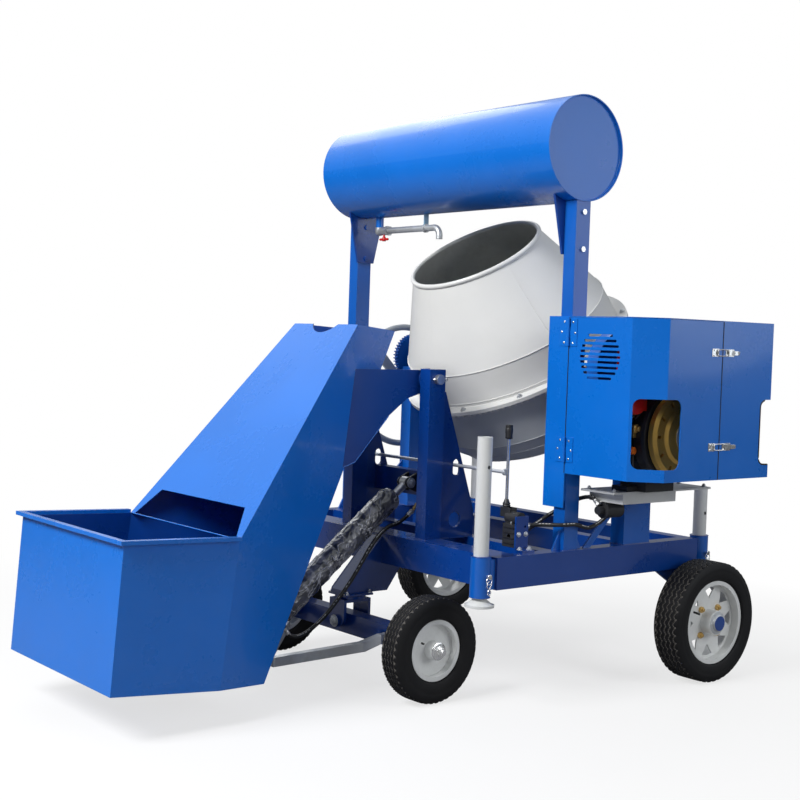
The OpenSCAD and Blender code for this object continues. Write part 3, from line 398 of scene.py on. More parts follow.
class Parts:
    """Collects many small solids into one mesh piece."""

    def __init__(self):
        self.v, self.f = [], []

    def ring_stack(self, origin, direction, profile, n=24):
        """Turns (radius, height) pairs round an axis and closes both ends."""
        x, y, z = basis(direction)
        rows = []
        for r, h in profile:
            row = []
            for i in range(n):
                a = 2 * math.pi * i / n
                row.append(len(self.v))
                self.v.append(Vector(origin) + z * h + (x * math.cos(a) + y * math.sin(a)) * r)
            rows.append(row)
        for a, b in zip(rows, rows[1:]):
            for i in range(n):
                self.f.append((a[i], a[(i + 1) % n], b[(i + 1) % n], b[i]))
        self.f.append(tuple(reversed(rows[0])))
        self.f.append(tuple(rows[-1]))

    def cyl(self, origin, direction, r, h, n=24, chamfer=None):
        """A cylinder, or a prism of n sides, with chamfered ends."""
        c = min(r, h) * 0.12 if chamfer is None else chamfer
        self.ring_stack(origin, direction, [(r - c, 0), (r, c), (r, h - c), (r - c, h)], n)

    def hexnut(self, origin, direction, r, h):
        """A six-sided nut with the end of its bolt."""
        self.cyl(origin, direction, r, h, 6, r * 0.08)
        self.cyl(Vector(origin) + Vector(direction).normalized() * h, direction, r * 0.55, h * 0.5, 16)

    def box_from(self, corners):
        """A box from eight corners that run z fastest, then y, then x."""
        s = len(self.v)
        self.v.extend(corners)
        for q in BOX_FACES:
            self.f.append(tuple(s + i for i in q))

    def box(self, lo, hi):
        """A box between two corners."""
        self.box_from([Vector((x, y, z)) for x in (lo[0], hi[0]) for y in (lo[1], hi[1])
                       for z in (lo[2], hi[2])])

    def tube(self, pts, r, n=10):
        """A round bar along points; r is one radius, or one for each point."""
        pts = [Vector(p) for p in pts]
        rows = []
        up = Vector((0.13, 0.07, 1.0)).normalized()    # a direction that no bar runs along
        for i, p in enumerate(pts):
            t = (pts[min(i + 1, len(pts) - 1)] - pts[max(i - 1, 0)]).normalized()
            x = t.cross(up)
            x = x.normalized() if x.length > 1e-4 else t.orthogonal().normalized()
            y = t.cross(x)
            rr = r[i] if isinstance(r, (list, tuple)) else r
            row = []
            for k in range(n):
                a = 2 * math.pi * k / n
                row.append(len(self.v))
                self.v.append(p + (x * math.cos(a) + y * math.sin(a)) * rr)
            rows.append(row)
        for a, b in zip(rows, rows[1:]):
            for i in range(n):
                self.f.append((a[i], b[i], b[(i + 1) % n], a[(i + 1) % n]))
        self.f.append(tuple(rows[0]))
        self.f.append(tuple(reversed(rows[-1])))

    def make(self, name, body, mat, slot, smooth=False):
        """Turns what was collected into one piece."""
        return mesh_piece(name, self.v, self.f, body, mat, smooth)


def smooth_path(pts, k=6):
    """A smooth curve through the points, with k steps between neighbours."""
    pts = [Vector(p) for p in pts]
    out = []
    for i in range(len(pts) - 1):
        p0, p1, p2, p3 = pts[max(i - 1, 0)], pts[i], pts[i + 1], pts[min(i + 2, len(pts) - 1)]
        for j in range(k):
            t = j / k
            out.append(0.5 * (2 * p1 + (p2 - p0) * t + (2 * p0 - 5 * p1 + 4 * p2 - p3) * t * t
                              + (3 * p1 - p0 - 3 * p2 + p3) * t ** 3))
    return out + [pts[-1]]


def ring_path(c, u, v, r, n):
    """A closed ring of points round c, in the plane of u and v."""
    return [c + (u * math.cos(t) + v * math.sin(t)) * r
            for t in [math.pi * 2 * i / n for i in range(n + 1)]]


# ---------------------------------------------------------------- tyres with their tread
TYRE_STEPS, TREAD_COLS, TREAD_WAVES = 288, 60, 48
GROOVES = (-0.33, -0.165, 0.0, 0.165, 0.33)    # where the grooves run, as shares of the width
GROOVE_DEPTH, NOTCH_DEPTH, NOTCH_WIDTH = 4.5, 2.6, 20


def tyre(name, node, cx, cy, r, w, bead, body):
    """A ribbed tyre: zig-zag grooves, shoulder notches and rings on the side walls, in mm."""
    m = (r + bead) / 2 + 4
    h = w / 2
    wall = [(bead, -h + 18), (bead + 12.4, -h + 18), (bead + 15, -h + 9), (bead + 19, -h + 4.5),
            (bead + 22, -h + 3.2), (m, -h + 0.2), (m + 6, -h + 1.6), (m + 10, -h + 0.4),
            (r - 22, -h + 2.4), (r - 12, -h + 4.5), (r - 5, -h + 8)]
    tread = [-h + 12 + (w - 24) * i / TREAD_COLS for i in range(TREAD_COLS + 1)]
    prof = [(a, b, False) for a, b in wall]
    prof += [(r - 1.2 * abs(b / h) ** 3, b, True) for b in tread]
    prof += [(a, -b, False) for a, b in reversed(wall)]
    vs, fs, low = [], [], set()
    count = len(prof)
    for i in range(TYRE_STEPS):
        a = 2 * math.pi * i / TYRE_STEPS
        turn = (i / TYRE_STEPS * TREAD_WAVES) % 1.0
        zigzag = abs(turn - 0.5) * 2.0 - 0.5
        for rr, b, on_tread in prof:
            if on_tread:
                for k in GROOVES:
                    if abs(b - (k * w + zigzag * w * 0.075)) < w * 0.021:
                        rr -= GROOVE_DEPTH
                        low.add(len(vs))
                if turn < 0.25 and abs(b) > h - NOTCH_WIDTH:
                    rr -= NOTCH_DEPTH
                    low.add(len(vs))
            vs.append(W(cx + rr * math.cos(a), cy + b, r + rr * math.sin(a)))
    for i in range(TYRE_STEPS):
        p, q = i * count, ((i + 1) % TYRE_STEPS) * count
        for k in range(count):
            n = (k + 1) % count
            fs.append((p + k, p + n, q + n, q + k))
    obj = mesh_piece(name, vs, fs, body, "tyre")
    obj.data.materials.append(MATS["tread"])
    for p in obj.data.polygons:
        p.use_smooth = True
        if sum(v in low for v in p.vertices) >= 3:
            p.material_index = 1
    obj.data.set_sharp_from_angle(angle=math.radians(32))
    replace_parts(obj, node)


def wheel_fittings(side, sy):
    """Wheel nuts, hub cap, front axle nut and valve stems of one side."""
    out = Vector((0, sy, 0))
    rear, front_body = f"rear_wheel_{side}", f"front_wheel_{side}"
    nuts = Parts()
    for i in range(4):
        a = math.radians(45 + 90 * i)
        nuts.hexnut(W(74 * math.cos(a), sy * 853, REAR_R + 74 * math.sin(a)), out, 0.0128, 0.0135)
    nuts.make(f"rear_wheel_nuts_{side}", rear, "brass", "gold_paint")
    hub = Parts()
    hub.ring_stack(W(0, sy * 899.5, REAR_R), out, [
        (0.046, 0), (0.046, 0.003), (0.034, 0.005), (0.033, 0.0118), (0.027, 0.0143), (0.010, 0.0150)], 40)
    for i in range(6):
        a = math.radians(60 * i)
        hub.cyl(W(39 * math.cos(a), sy * 902, REAR_R + 39 * math.sin(a)), out, 0.0042, 0.004, 6)
    hub.make(f"rear_hub_cap_{side}", rear, "galv", "rim_grey")
    stem = Parts()
    stem.tube([W(112, sy * 868, 296), W(108, sy * 882, 293), W(103, sy * 893, 290)], 0.0045, 8)
    stem.make(f"rear_valve_stem_{side}", rear, "rubber", "rubber")
    front = Parts()
    front.ring_stack(W(FRONT_X, sy * 556, FRONT_R), out, [
        (0.0335, 0), (0.0335, 0.002), (0.029, 0.004), (0.028, 0.008), (0.022, 0.009)], 36)
    front.cyl(W(FRONT_X, sy * 571, FRONT_R), out, 0.0178, 0.010, 6)
    front.cyl(W(FRONT_X, sy * 581, FRONT_R), out, 0.0105, 0.008, 20)
    front.make(f"front_hub_nut_{side}", front_body, "chrome", "steel")
    stem = Parts()
    stem.tube([W(FRONT_X + 74, sy * 545, 238), W(FRONT_X + 71, sy * 556, 236)], 0.004, 8)
    stem.make(f"front_valve_stem_{side}", front_body, "rubber", "rubber")


for side, sy in SIDES:
    tyre(f"rear_tread_{side}", f"rear_tyre_{side}", 0, sy * 832.5, REAR_R, 135, 158, f"rear_wheel_{side}")
    tyre(f"front_tread_{side}", f"front_tyre_{side}", FRONT_X, sy * 505, FRONT_R, 100, 104,
         f"front_wheel_{side}")
for side, sy in SIDES:
    wheel_fittings(side, sy)


# ---------------------------------------------------------------- crinkled film round the ram
RAM_TOP, RAM_FOOT = W(925, 0, 766), W(1640, 0, 185)
RAM_DIR = (RAM_FOOT - RAM_TOP).normalized()
FILM_START, FILM_END = 0.0815, 0.779           # along the ram, in metres
FILM_PITCH = 0.066                             # one turn of the winding
FILM_R, FILM_MIN, FILM_MAX = 0.0478, 0.0445, 0.0519
GATHER_R, FILM_SAG = 0.0252, 0.008             # radius at the gathered ends, and how low the film hangs


def ram_film():
    """Wound wrapping with a spiral lap, slanting folds and gathered ends."""
    x = Vector((0, 1, 0))
    y = RAM_DIR.cross(x)
    vs, fs = [], []
    rows, n = 210, 110
    for i in range(rows):
        u = FILM_START + (FILM_END - FILM_START) * i / (rows - 1)
        ends = min(1.0, (u - FILM_START) / 0.022, (FILM_END - u) / 0.006 + 0.75)
        for k in range(n):
            a = 2 * math.pi * k / n
            lap = (u / FILM_PITCH + k / n) % 1.0
            q = Vector((u * 16.0 + 0.5 * math.sin(a), math.cos(a) * 1.5, math.sin(a) * 1.5))
            crease = 1.0 - abs(noise.noise(q * 1.9 + Vector((5, 2, 1)))) * 2.6
            fine = 1.0 - abs(noise.noise(q * 4.3)) * 2.4
            r = FILM_R + 0.0016 * crease + 0.0006 * fine + 0.0026 * (1.0 - lap) ** 3
            r += 0.0026 * noise.noise(q * 0.7 + Vector((3, 1, 7)))
            r = min(FILM_MAX, max(FILM_MIN, r))
            r = GATHER_R + (r - GATHER_R) * max(0.0, ends) ** 0.5
            vs.append(RAM_TOP + RAM_DIR * u + y * FILM_SAG + (x * math.cos(a) + y * math.sin(a)) * r)
    for i in range(rows - 1):
        for k in range(n):
            fs.append((i * n + k, i * n + (k + 1) % n, (i + 1) * n + (k + 1) % n, (i + 1) * n + k))
    fs.append(tuple(reversed(range(n))))
    fs.append(tuple((rows - 1) * n + k for k in range(n)))
    obj = mesh_piece("ram_film", vs, fs, "ram_barrel", "film", True)
    obj.data.set_sharp_from_angle(angle=math.radians(38))
    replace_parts(obj, "ram_wrap")


ram_film()

# ---------------------------------------------------------------- weld beads
def bead(parts, pts, r=3.4):
    """A rippled weld bead that follows points in metres."""
    pts = [Vector(p) for p in pts]
    path, radii = [], []
    for a, b in zip(pts, pts[1:]):
        count = max(2, int((b - a).length / 0.006))
        for i in range(count):
            path.append(a.lerp(b, i / count))
    path.append(pts[-1])
    for i, p in enumerate(path):
        ripple = 0.86 + 0.14 * math.sin(i * 2.3) + 0.18 * noise.noise(p * 90.0)
        radii.append(r / 1000.0 * ripple * (0.35 if i in (0, len(path) - 1) else 1.0))
    parts.tube(path, radii, 7)


def foot_bead(parts, x0, x1, y0, y1):
    """A bead round the foot of a post that stands on a beam."""
    z = BEAM_TOP
    bead(parts, [W(x0, y0, z), W(x1, y0, z), W(x1, y1, z), W(x0, y1, z), W(x0, y0, z)])


def on_drum(r, z, deg):
    """A point on the drum: radius and height along its leaning axis, and the angle round it."""
    a = math.radians(deg)
    x, y = r * math.cos(a), r * math.sin(a)
    return W(DRUM_X + x * math.cos(LEAN) + z * math.sin(LEAN), y,
             DRUM_Z - x * math.sin(LEAN) + z * math.cos(LEAN))


def welds():
    """Beads on the frame, the hopper, the drum and the tank's ends."""
    frame_beads, hopper_beads = Parts(), Parts()
    for sy in (1, -1):
        foot_bead(frame_beads, 965, 1045, sy * 214, sy * 274)
        foot_bead(frame_beads, 646, 721, sy * 658, sy * 718)
        foot_bead(frame_beads, 230, 385, sy * 650, sy * 720)
        bead(frame_beads, [W(780, sy * 260, BEAM_TOP), W(965, sy * 260, BEAM_TOP)])
        bead(frame_beads, [W(965, sy * 260, BEAM_TOP), W(965, sy * 260, 1150)], 3.0)
        for x in (-65, -5, 270, 330, 745, 805, 955):
            bead(frame_beads, [W(x, sy * 670, BEAM_TOP), W(x, sy * 670, BEAM_LOW)], 2.8)
        for y in (690, 720):
            bead(frame_beads, [W(1075, sy * y, 450), W(1075, sy * y, 560)], 3.0)
        bead(frame_beads, [W(385, sy * 701, 780), W(385, sy * 701, 744)], 3.0)
        bead(hopper_beads, [W(1190, sy * 204, 1057), W(1349, sy * 204, 880), W(1440, sy * 204, 850)], 2.6)
    bead(hopper_beads, [W(1979.5, -392, 648), W(1979.5, 392, 648)], 2.6)
    for y in (-40, 40):
        bead(frame_beads, [W(1075, y, 555), W(1262, y, 348)], 2.6)
    # The frame's beads wear the darker blue copy of the paint: painted shade.
    frame_beads.make("frame_welds", "frame", "blue_deep_shade", "blue_paint", True)
    hopper_beads.make("hopper_welds", "hopper", "blue", "blue_paint", True)
    upper, lower = Parts(), Parts()
    for r, z in ((468.4, 75.6), (452.6, 202.6)):
        bead(upper, [on_drum(r, z, d) for d in range(0, 361, 4)], 2.6)
    bead(upper, [on_drum(451.5, 206, 72), on_drum(297, 520, 72)], 2.2)
    bead(upper, [on_drum(468.0, 73, 72), on_drum(453, 200, 72)], 2.2)
    for r, z in ((449.8, -158.4), (427.8, -212), (383.6, -266)):
        bead(lower, [on_drum(r, z, d) for d in range(0, 361, 4)], 2.4)
    upper.make("drum_welds_upper", "drum", "white", "white_paint", True)
    lower.make("drum_welds_lower", "drum", "lower", "grey_paint", True)
    tank = Parts()
    for sy in (1, -1):
        bead(tank, [W(TANK_X + 197 * math.cos(math.radians(d)), sy * 711,
                      TANK_Z + 197 * math.sin(math.radians(d))) for d in range(0, 361, 5)], 2.6)
    tank.make("tank_welds", "frame", "blue", "blue_paint", True)


# ---------------------------------------------------------------- fasteners
WASHER = 0.0022                                # thickness, in metres


def bolt(parts, at, direction, r, h):
    """A washer, a six-sided head of radius r and height h in mm, and a thread end."""
    d = Vector(direction).normalized()
    parts.cyl(at, d, r * 0.00145, WASHER, 20)
    parts.cyl(Vector(at) + d * WASHER, d, r / 1000.0, h / 1000.0, 6, r * 0.00008)
    parts.cyl(Vector(at) + d * (WASHER + h / 1000.0), d, r * 0.00052, 0.0035, 14)


def cotter(parts, at, axis, length):
    """A split pin: two legs through the hole and a round eye."""
    r = 2.4
    a = Vector(axis).normalized()
    side = a.orthogonal().normalized()
    at = Vector(at)
    for s in (-1, 1):
        parts.tube([at - a * length, at + a * length * 0.8, at + a * length + side * s * 0.004],
                   r / 1000.0, 8)
    parts.tube(ring_path(at - a * (length + 0.005), a, side, 0.0055, 14), r * 0.0008, 7)


def clip(parts, at, out):
    """A safety pin with its ring, hanging from a sleeve."""
    at, out = Vector(at), Vector(out)
    side = out.cross(UP).normalized()
    parts.cyl(at, out, 0.0065, 0.016, 16)
    parts.cyl(at + out * 0.012, out, 0.0095, 0.004, 20)
    c = at + out * 0.011 - UP * 0.015
    parts.tube(ring_path(c, side, UP, 0.0135, 22), 0.0019, 7)
    loop = [(0.004, 0.0), (0.012, -0.006), (0.014, -0.018), (0.004, -0.030), (-0.006, -0.040),
            (-0.001, -0.052), (0.009, -0.046), (0.007, -0.034), (-0.003, -0.022), (-0.010, -0.008)]
    parts.tube(smooth_path([c + out * 0.004 + side * a + Vector((0, 0, b)) for a, b in loop], 4), 0.0018, 7)


def fasteners():
    """Bolts, split pins and safety pins on the frame, the drum's flange, the axle and the fork."""
    chrome, dull = Parts(), Parts()
    for sy in (1, -1):
        for x in (1137, 1250):
            bolt(chrome, W(x, sy * 48, 332), UP, 9, 8)
        cotter(chrome, W(1003, sy * 283, 1203), (1, 0, 0), 0.030)
        bolt(dull, W(925, sy * 32, 766), (0, sy, 0), 15, 9)
        for x in SLEEVE_XS:
            clip(chrome, W(x, sy * (SLEEVE_Y + 38), 505), (0, sy, 0))
    for x in (90, 620):
        for y in (745, 873):
            bolt(dull, W(x, y, 805), UP, 8, 7)
    for x in (855, 905):
        bolt(dull, W(x, 667, 575), UP, 8, 6)
    for x in (862, 898):
        bolt(dull, W(x, 652, 632), (0, 1, 0), 7, 5)
    chrome.make("bright_pins", "frame", "chrome", "steel")
    dull.make("dull_bolts", "frame", "galv", "galvanised")
    ring = Parts()
    for i in range(12):
        bolt(ring, on_drum(493, 62.5, 15 + 30 * i), AXIS, 9, 6)
    ring.make("ring_bolts", "drum", "galv", "galvanised")
    axle = Parts()
    for sy in (1, -1):
        bolt(axle, W(1260, sy * 354, 216), (0, sy, 0), 12, 6)
    axle.make("drawbar_pin_heads", "axle", "galv", "galvanised")
    fork = Parts()
    bolt(fork, W(1272, 0, 222), (1, 0, 0), 17, 10)
    for x in (1130, 1250):
        for sy in (1, -1):
            bolt(fork, W(x, sy * 34, 323), UP, 6, 3)
    fork.make("fork_bolts", "fork", "galv", "galvanised")


# ---------------------------------------------------------------- engine cover fittings
def rivet(parts, at, direction, r=4.6):
    """A domed rivet head of radius r in mm."""
    parts.ring_stack(at, direction, [(r / 1000, -0.0005), (r / 1000, 0.0004), (r * 0.00080, 0.0018),
                                     (r * 0.00045, 0.0025), (0.0004, 0.0028)], 18)


def hinge_rivets():
    """Three rivets in each leaf of the two hinges."""
    fixed, moving = Parts(), Parts()
    for z0, z1 in ((910, 1005), (1352, 1457)):
        mid = (z0 + z1) / 2
        for y, z in ((692, z1 - 12), (679, mid + 2), (692, z0 + 13)):
            rivet(fixed, W(DOOR_X, y, z), (1, 0, 0))
        for y, z in ((737, z1 - 14), (749, mid - 2), (737, z0 + 12)):
            rivet(moving, W(DOOR_X, y, z), (1, 0, 0))
    fixed.make("hinge_rivets_fixed", "frame", "chrome", "steel")
    moving.make("hinge_rivets_door", "door", "chrome", "steel")


def latch(parts, z):
    """A draw latch: catch plate with its hook, wire bail, and the over-centre lever on its base."""
    def q(x, y, dz):
        return W(x, DOOR_Y + y, z + dz)

    parts.box(q(352, 0.2, -15), q(392, 1.8, 15))
    parts.tube([q(361, 1.8, -10), q(360, 5.2, -10), q(360, 5.2, 10), q(361, 1.8, 10)], 0.0022, 8)
    for dz in (-10, 10):
        rivet(parts, q(382, 1.8, dz), (0, 1, 0), 3.6)
    parts.box(q(262, 0.2, -14), q(312, 1.8, 14))
    for dz in (-9, 9):
        rivet(parts, q(304, 1.8, dz), (0, 1, 0), 3.4)
    bail = [(300, -11), (330, -12), (356, -11), (363, -7), (363, 7), (356, 11), (330, 12), (300, 11)]
    parts.tube(smooth_path([q(x, 5.4, dz) for x, dz in bail], 4), 0.0019, 8)
    parts.cyl(q(300, 4.6, -13), UP, 0.0030, 0.026, 14)
    lever = [(306, 3.0, 9.5), (298, 6.6, 10), (284, 7.4, 9.5), (262, 6.4, 8.5), (246, 6.6, 8),
             (237.5, 8.2, 6)]
    s = len(parts.v)
    for x, y, half in lever:
        for dy in (-0.8, 0.8):
            for dz in (-half, half):
                parts.v.append(q(x, y + dy, dz))
    for i in range(len(lever) - 1):
        a, b = s + i * 4, s + i * 4 + 4
        for m, n in ((0, 1), (1, 3), (3, 2), (2, 0)):
            parts.f.append((a + m, a + n, b + n, b + m))
    parts.f.append((s, s + 2, s + 3, s + 1))
    e = s + (len(lever) - 1) * 4
    parts.f.append((e, e + 1, e + 3, e + 2))


def latches():
    """The two latches of the door, in place of the plain CAD ones."""
    parts = Parts()
    for z in (991, 1346):
        latch(parts, z)
    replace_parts(parts.make("draw_latches", "door", "chrome", "steel"), "cover_latches")


# ---------------------------------------------------------------- hoses
HOSE_R = 8                                     # mm
HOSE_OUT = [(845, 610, 650), (800, 640, 662), (740, 722, 668), (680, 738, 668), (610, 738, 652),
            (548, 736, 668), (520, 744, 692), (518, 760, 716)]
HOSE_BACK = [(845, 596, 610), (790, 596, 640), (720, 622, 690), (645, 632, 722), (610, 680, 758),
             (604, 745, 771), (606, 788, 744)]
HOSE_RAM = [(937, 62, 656), (1000, 60, 612), (1064, 58, 592), (1130, 56, 536), (1232, 54, 394),
            (1335, 50, 278), (1405, 38, 214), (1455, 20, 184), (1490, 6, 190), (1512.5, 0, 220.5)]


def ferrule(parts, path):
    """A crimped collar and its union nut at the start of a hose."""
    a, b = path[0], path[3]
    d = (b - a).normalized()
    r = HOSE_R / 1000.0
    parts.ring_stack(a + d * 0.010, d, [
        (r * 1.22, 0), (r * 1.3, 0.003), (r * 1.18, 0.006), (r * 1.3, 0.010), (r * 1.18, 0.014),
        (r * 1.3, 0.018), (r * 1.16, 0.022)], 20)
    parts.cyl(a + d * 0.001, d, r * 1.45, 0.010, 6)


def print_marks(parts, path, start):
    """Short pale dashes of a printed line along the hose, from start metres on."""
    run, nxt = 0.0, start
    for p, q in zip(path, path[1:]):
        run += (q - p).length
        if run > nxt and run % 0.085 < 0.05:
            t = (q - p).normalized()
            out = t.cross(UP).cross(t).normalized() * 0.5 + Vector((0.35, 0.75, 0.1))
            out = (out - t * out.dot(t)).normalized()
            w = t.cross(out).normalized()
            parts.box_from([p + t * along + w * across + out * lift
                            for along in (-0.0045, 0.0045) for across in (-0.0014, 0.0014)
                            for lift in (HOSE_R / 1000.0 - 0.0006, HOSE_R / 1000.0 + 0.00025)])
            nxt = run + 0.008


def hoses():
    """The three hoses with their fittings and print, and the elbow on the neck."""
    for routes, body, node, title in (((HOSE_OUT, HOSE_BACK), "frame", "valve_hoses", "valve"),
                                      ((HOSE_RAM,), "ram_barrel", "ram_hose", "ram")):
        tube, metal, marks = Parts(), Parts(), Parts()
        for i, pts in enumerate(routes):
            path = smooth_path([W(*p) for p in pts], 9)
            tube.tube(path, HOSE_R / 1000.0, 16)
            ferrule(metal, path)
            ferrule(metal, path[::-1])
            print_marks(marks, path, 0.02 + 0.01 * i)
        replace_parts(tube.make(f"{title}_hose_lines", body, "rubber", "rubber", True), node)
        metal.make(f"{title}_hose_fittings", body, "steel", "steel")
        marks.make(f"{title}_hose_marks", body, "mark", "white_paint")
    elbow = Parts()
    elbow.tube(smooth_path([W(x, 62, z) for x, z in (
        (934, 660), (922, 676), (908, 692), (893, 704), (880, 715))], 4), 0.0065, 12)
    elbow.cyl(W(893, 62, 699), (-0.5, 0, 0.86), 0.012, 0.012, 6)
    elbow.make("ram_hose_elbow", "frame", "brass", "steel")


# ---------------------------------------------------------------- valve, tap and engine
def valve_fittings():
    """Unions, plugs, ribs, the relief valve and the lever's boot."""
    metal, dark = Parts(), Parts()
    for y, z in ((610, 650), (596, 610)):
        metal.cyl(W(850, y, z), (-1, 0, 0), 0.0135, 0.004, 6)
    for x in (864, 880, 896):
        metal.cyl(W(x, 610, 668), UP, 0.0068, 0.009, 6)
    for z in (592, 612, 632, 652):
        dark.box(W(910, 582, z), W(913, 638, z + 5))
    metal.cyl(W(LEVER_X, 575.5, 640), (0, -1, 0), 0.015, 0.012, 6)
    metal.cyl(W(886, 618, 676), UP, 0.0125, 0.026, 24)
    metal.cyl(W(886, 618, 702), UP, 0.0090, 0.008, 6)
    dark.ring_stack(W(LEVER_X, LEVER_Y, 727), UP, [
        (0.013, 0), (0.0165, 0.004), (0.0135, 0.009), (0.0155, 0.013), (0.012, 0.018), (0.0075, 0.030)], 24)
    metal.make("valve_fittings", "frame", "steel", "steel")
    dark.make("valve_ribs_and_boot", "frame", "rubber", "rubber")


def lever_knob():
    """The black grip on the hand lever."""
    knob = Parts()
    knob.ring_stack(W(LEVER_X, LEVER_Y, 988), UP, [
        (0.0095, 0), (0.0145, 0.003), (0.0135, 0.012), (0.0150, 0.026), (0.0150, 0.040), (0.0120, 0.0505),
        (0.004, 0.0535)], 28)
    knob.make("lever_grip", "lever", "rubber", "rubber", True)


def tap_wings():
    """A red two-winged tap handle on its hub."""
    parts = Parts()
    valve_z = TANK_Z - 263
    parts.cyl(W(TANK_X, TAP_Y, valve_z - 46), UP, 0.009, 0.018, 20)
    parts.cyl(W(TANK_X, TAP_Y, valve_z - 40), UP, 0.005, 0.031, 14)
    rows, n = 17, 16
    s = len(parts.v)
    for i in range(rows):
        t = -1 + 2 * i / (rows - 1)
        half = (3.2 + 3.4 * abs(t) ** 0.8) * (1 - 0.6 * max(0.0, abs(t) - 0.85) / 0.15)
        for k in range(n):
            a = 2 * math.pi * k / n
            parts.v.append(W(TANK_X + 3.9 * math.cos(a), TAP_Y + 31.5 * t,
                             valve_z - 37.5 + half * math.sin(a)))
    for i in range(rows - 1):
        for k in range(n):
            a, b = s + i * n, s + (i + 1) * n
            parts.f.append((a + k, a + (k + 1) % n, b + (k + 1) % n, b + k))
    parts.f.append(tuple(s + k for k in reversed(range(n))))
    parts.f.append(tuple(s + (rows - 1) * n + k for k in range(n)))
    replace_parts(parts.make("tap_wings", "tap", "red", "red_paint", True), "tap_handle")


def engine_details():
    """What shows through the window: fins, carburettor, leads, switches, fuel cap and flywheel hub."""
    fins, brass, lead, orange, cap = Parts(), Parts(), Parts(), Parts(), Parts()
    for i in range(9):
        x = 512 + i * 15
        fins.box(W(x, 806, 926), W(x + 3, 924, 1089))
    fins.box(W(655, 830, 950), W(668, 905, 1070))
    for y in (842, 893):
        for z in (962, 1058):
            fins.cyl(W(668, y, z), (1, 0, 0), 0.007, 0.006, 6)
    fins.ring_stack(W(CRANK_X, 985, CRANK_Z), (0, 1, 0), [
        (0.176, -0.045), (0.178, -0.010), (0.174, 0.003), (0.168, 0.004)], 64)
    brass.cyl(W(598, 926, 1052), (0, 1, 0), 0.017, 0.030, 24)
    brass.cyl(W(598, 956, 1052), (0, 1, 0), 0.010, 0.012, 6)
    brass.box(W(588, 930, 1018), W(612, 950, 1040))
    orange.cyl(W(604, 930, 968), (0, 1, 0), 0.015, 0.020, 24)
    orange.cyl(W(636, 922, 1002), (0, 1, 0), 0.008, 0.014, 16)
    brass.cyl(W(668, 868, 1006), (1, 0, 0), 0.0075, 0.020, 6)
    for r, pts in ((0.0045, ((688, 868, 1006), (700, 885, 1012), (690, 925, 1040), (650, 948, 1075),
                             (600, 950, 1110), (560, 935, 1130))),
                   (0.0040, ((598, 940, 1085), (580, 960, 1120), (560, 960, 1160), (540, 945, 1215))),
                   (0.0040, ((604, 945, 960), (620, 960, 920), (600, 955, 880), (560, 930, 850)))):
        lead.tube(smooth_path([W(*p) for p in pts], 6), r, 10)
    lead.cyl(W(686, 868, 1006), (1, 0, 0), 0.009, 0.016, 16)
    cap.ring_stack(W(440, 905, 1365), UP, [(0.030, 0), (0.031, 0.004), (0.029, 0.012), (0.020, 0.015)], 36)
    fins.make("engine_fins", "frame", "dark", "engine_dark")
    brass.make("engine_carburettor", "frame", "brass", "gold_paint")
    lead.make("engine_leads", "frame", "rubber", "rubber", True)
    orange.make("engine_switches", "frame", "orange", "red_paint")
    cap.make("fuel_cap", "frame", "rubber", "rubber")
    hub = Parts()
    hub.ring_stack(W(CRANK_X, 1046, CRANK_Z), (0, 1, 0), [
        (0.060, -0.004), (0.060, 0.002), (0.052, 0.006), (0.030, 0.007), (0.028, 0.012), (0.016, 0.013)], 48)
    for i in range(6):
        a = math.radians(30 + 60 * i)
        hub.cyl(W(CRANK_X + 44 * math.cos(a), 1050, CRANK_Z + 44 * math.sin(a)), (0, 1, 0), 0.0055,
                0.004, 6)
    hub.make("flywheel_hub", "crank", "steel", "steel")


def frame_details():
    """Dark strips as painted shade in the door's seams and round the rear notch, the air cleaner and the
    sleeves' lips.
    """
    shade_strips = Parts()
    # Black strips in the seam gaps and round the notch: painted shade.
    shade_strips.box(W(326, 1119, 868), W(329.4, 1125.9, 1462))
    shade_strips.box(W(729, 714.6, 868), W(733.9, 717.8, 1462))
    rim = [(WINDOW_X + 31 * math.sin(math.radians(a)), 1139 + 28 * math.cos(math.radians(a)))
           for a in (10, 30, 50, 70, 90)]
    rim += [(83, z) for z in (1100, 1042, 985)]
    rim += [(WINDOW_X + 31 * math.cos(math.radians(a)), 945 - 28 * math.sin(math.radians(a)))
            for a in (0, 20, 40, 60, 80)]
    rim += [(24, 916)]
    shade_strips.tube([W(x, WINDOW_Y, z) for x, z in rim], 0.0035, 8)
    shade_strips.make("seam_and_notch_shade_strips", "frame", "rubber", "rubber")
    cleaner = Parts()
    cleaner.ring_stack(W(628, 918, 1156), (0, 1, 0), [
        (0.040, 0), (0.050, 0.003), (0.052, 0.010), (0.052, 0.052), (0.048, 0.062), (0.030, 0.066),
        (0.012, 0.067)], 40)
    cleaner.box(W(575, 926, 1120), W(626, 978, 1196))
    cleaner.make("air_cleaner", "frame", "red", "red_paint")
    collars = Parts()
    for x in SLEEVE_XS:
        for sy in (1, -1):
            for z in (573.5, 423):
                collars.ring_stack(W(x, sy * SLEEVE_Y, z), UP, [
                    (0.0382, 0), (0.0395, 0.0006), (0.0395, 0.0018), (0.0382, 0.0024)], 48)
    # The sleeves' lips wear the darker blue copy of the paint: painted shade.
    collars.make("sleeve_lips", "frame", "blue_deep_shade", "blue_paint", True)


welds()
fasteners()
hinge_rivets()
latches()
hoses()
valve_fittings()
lever_knob()
tap_wings()
engine_details()
frame_details()

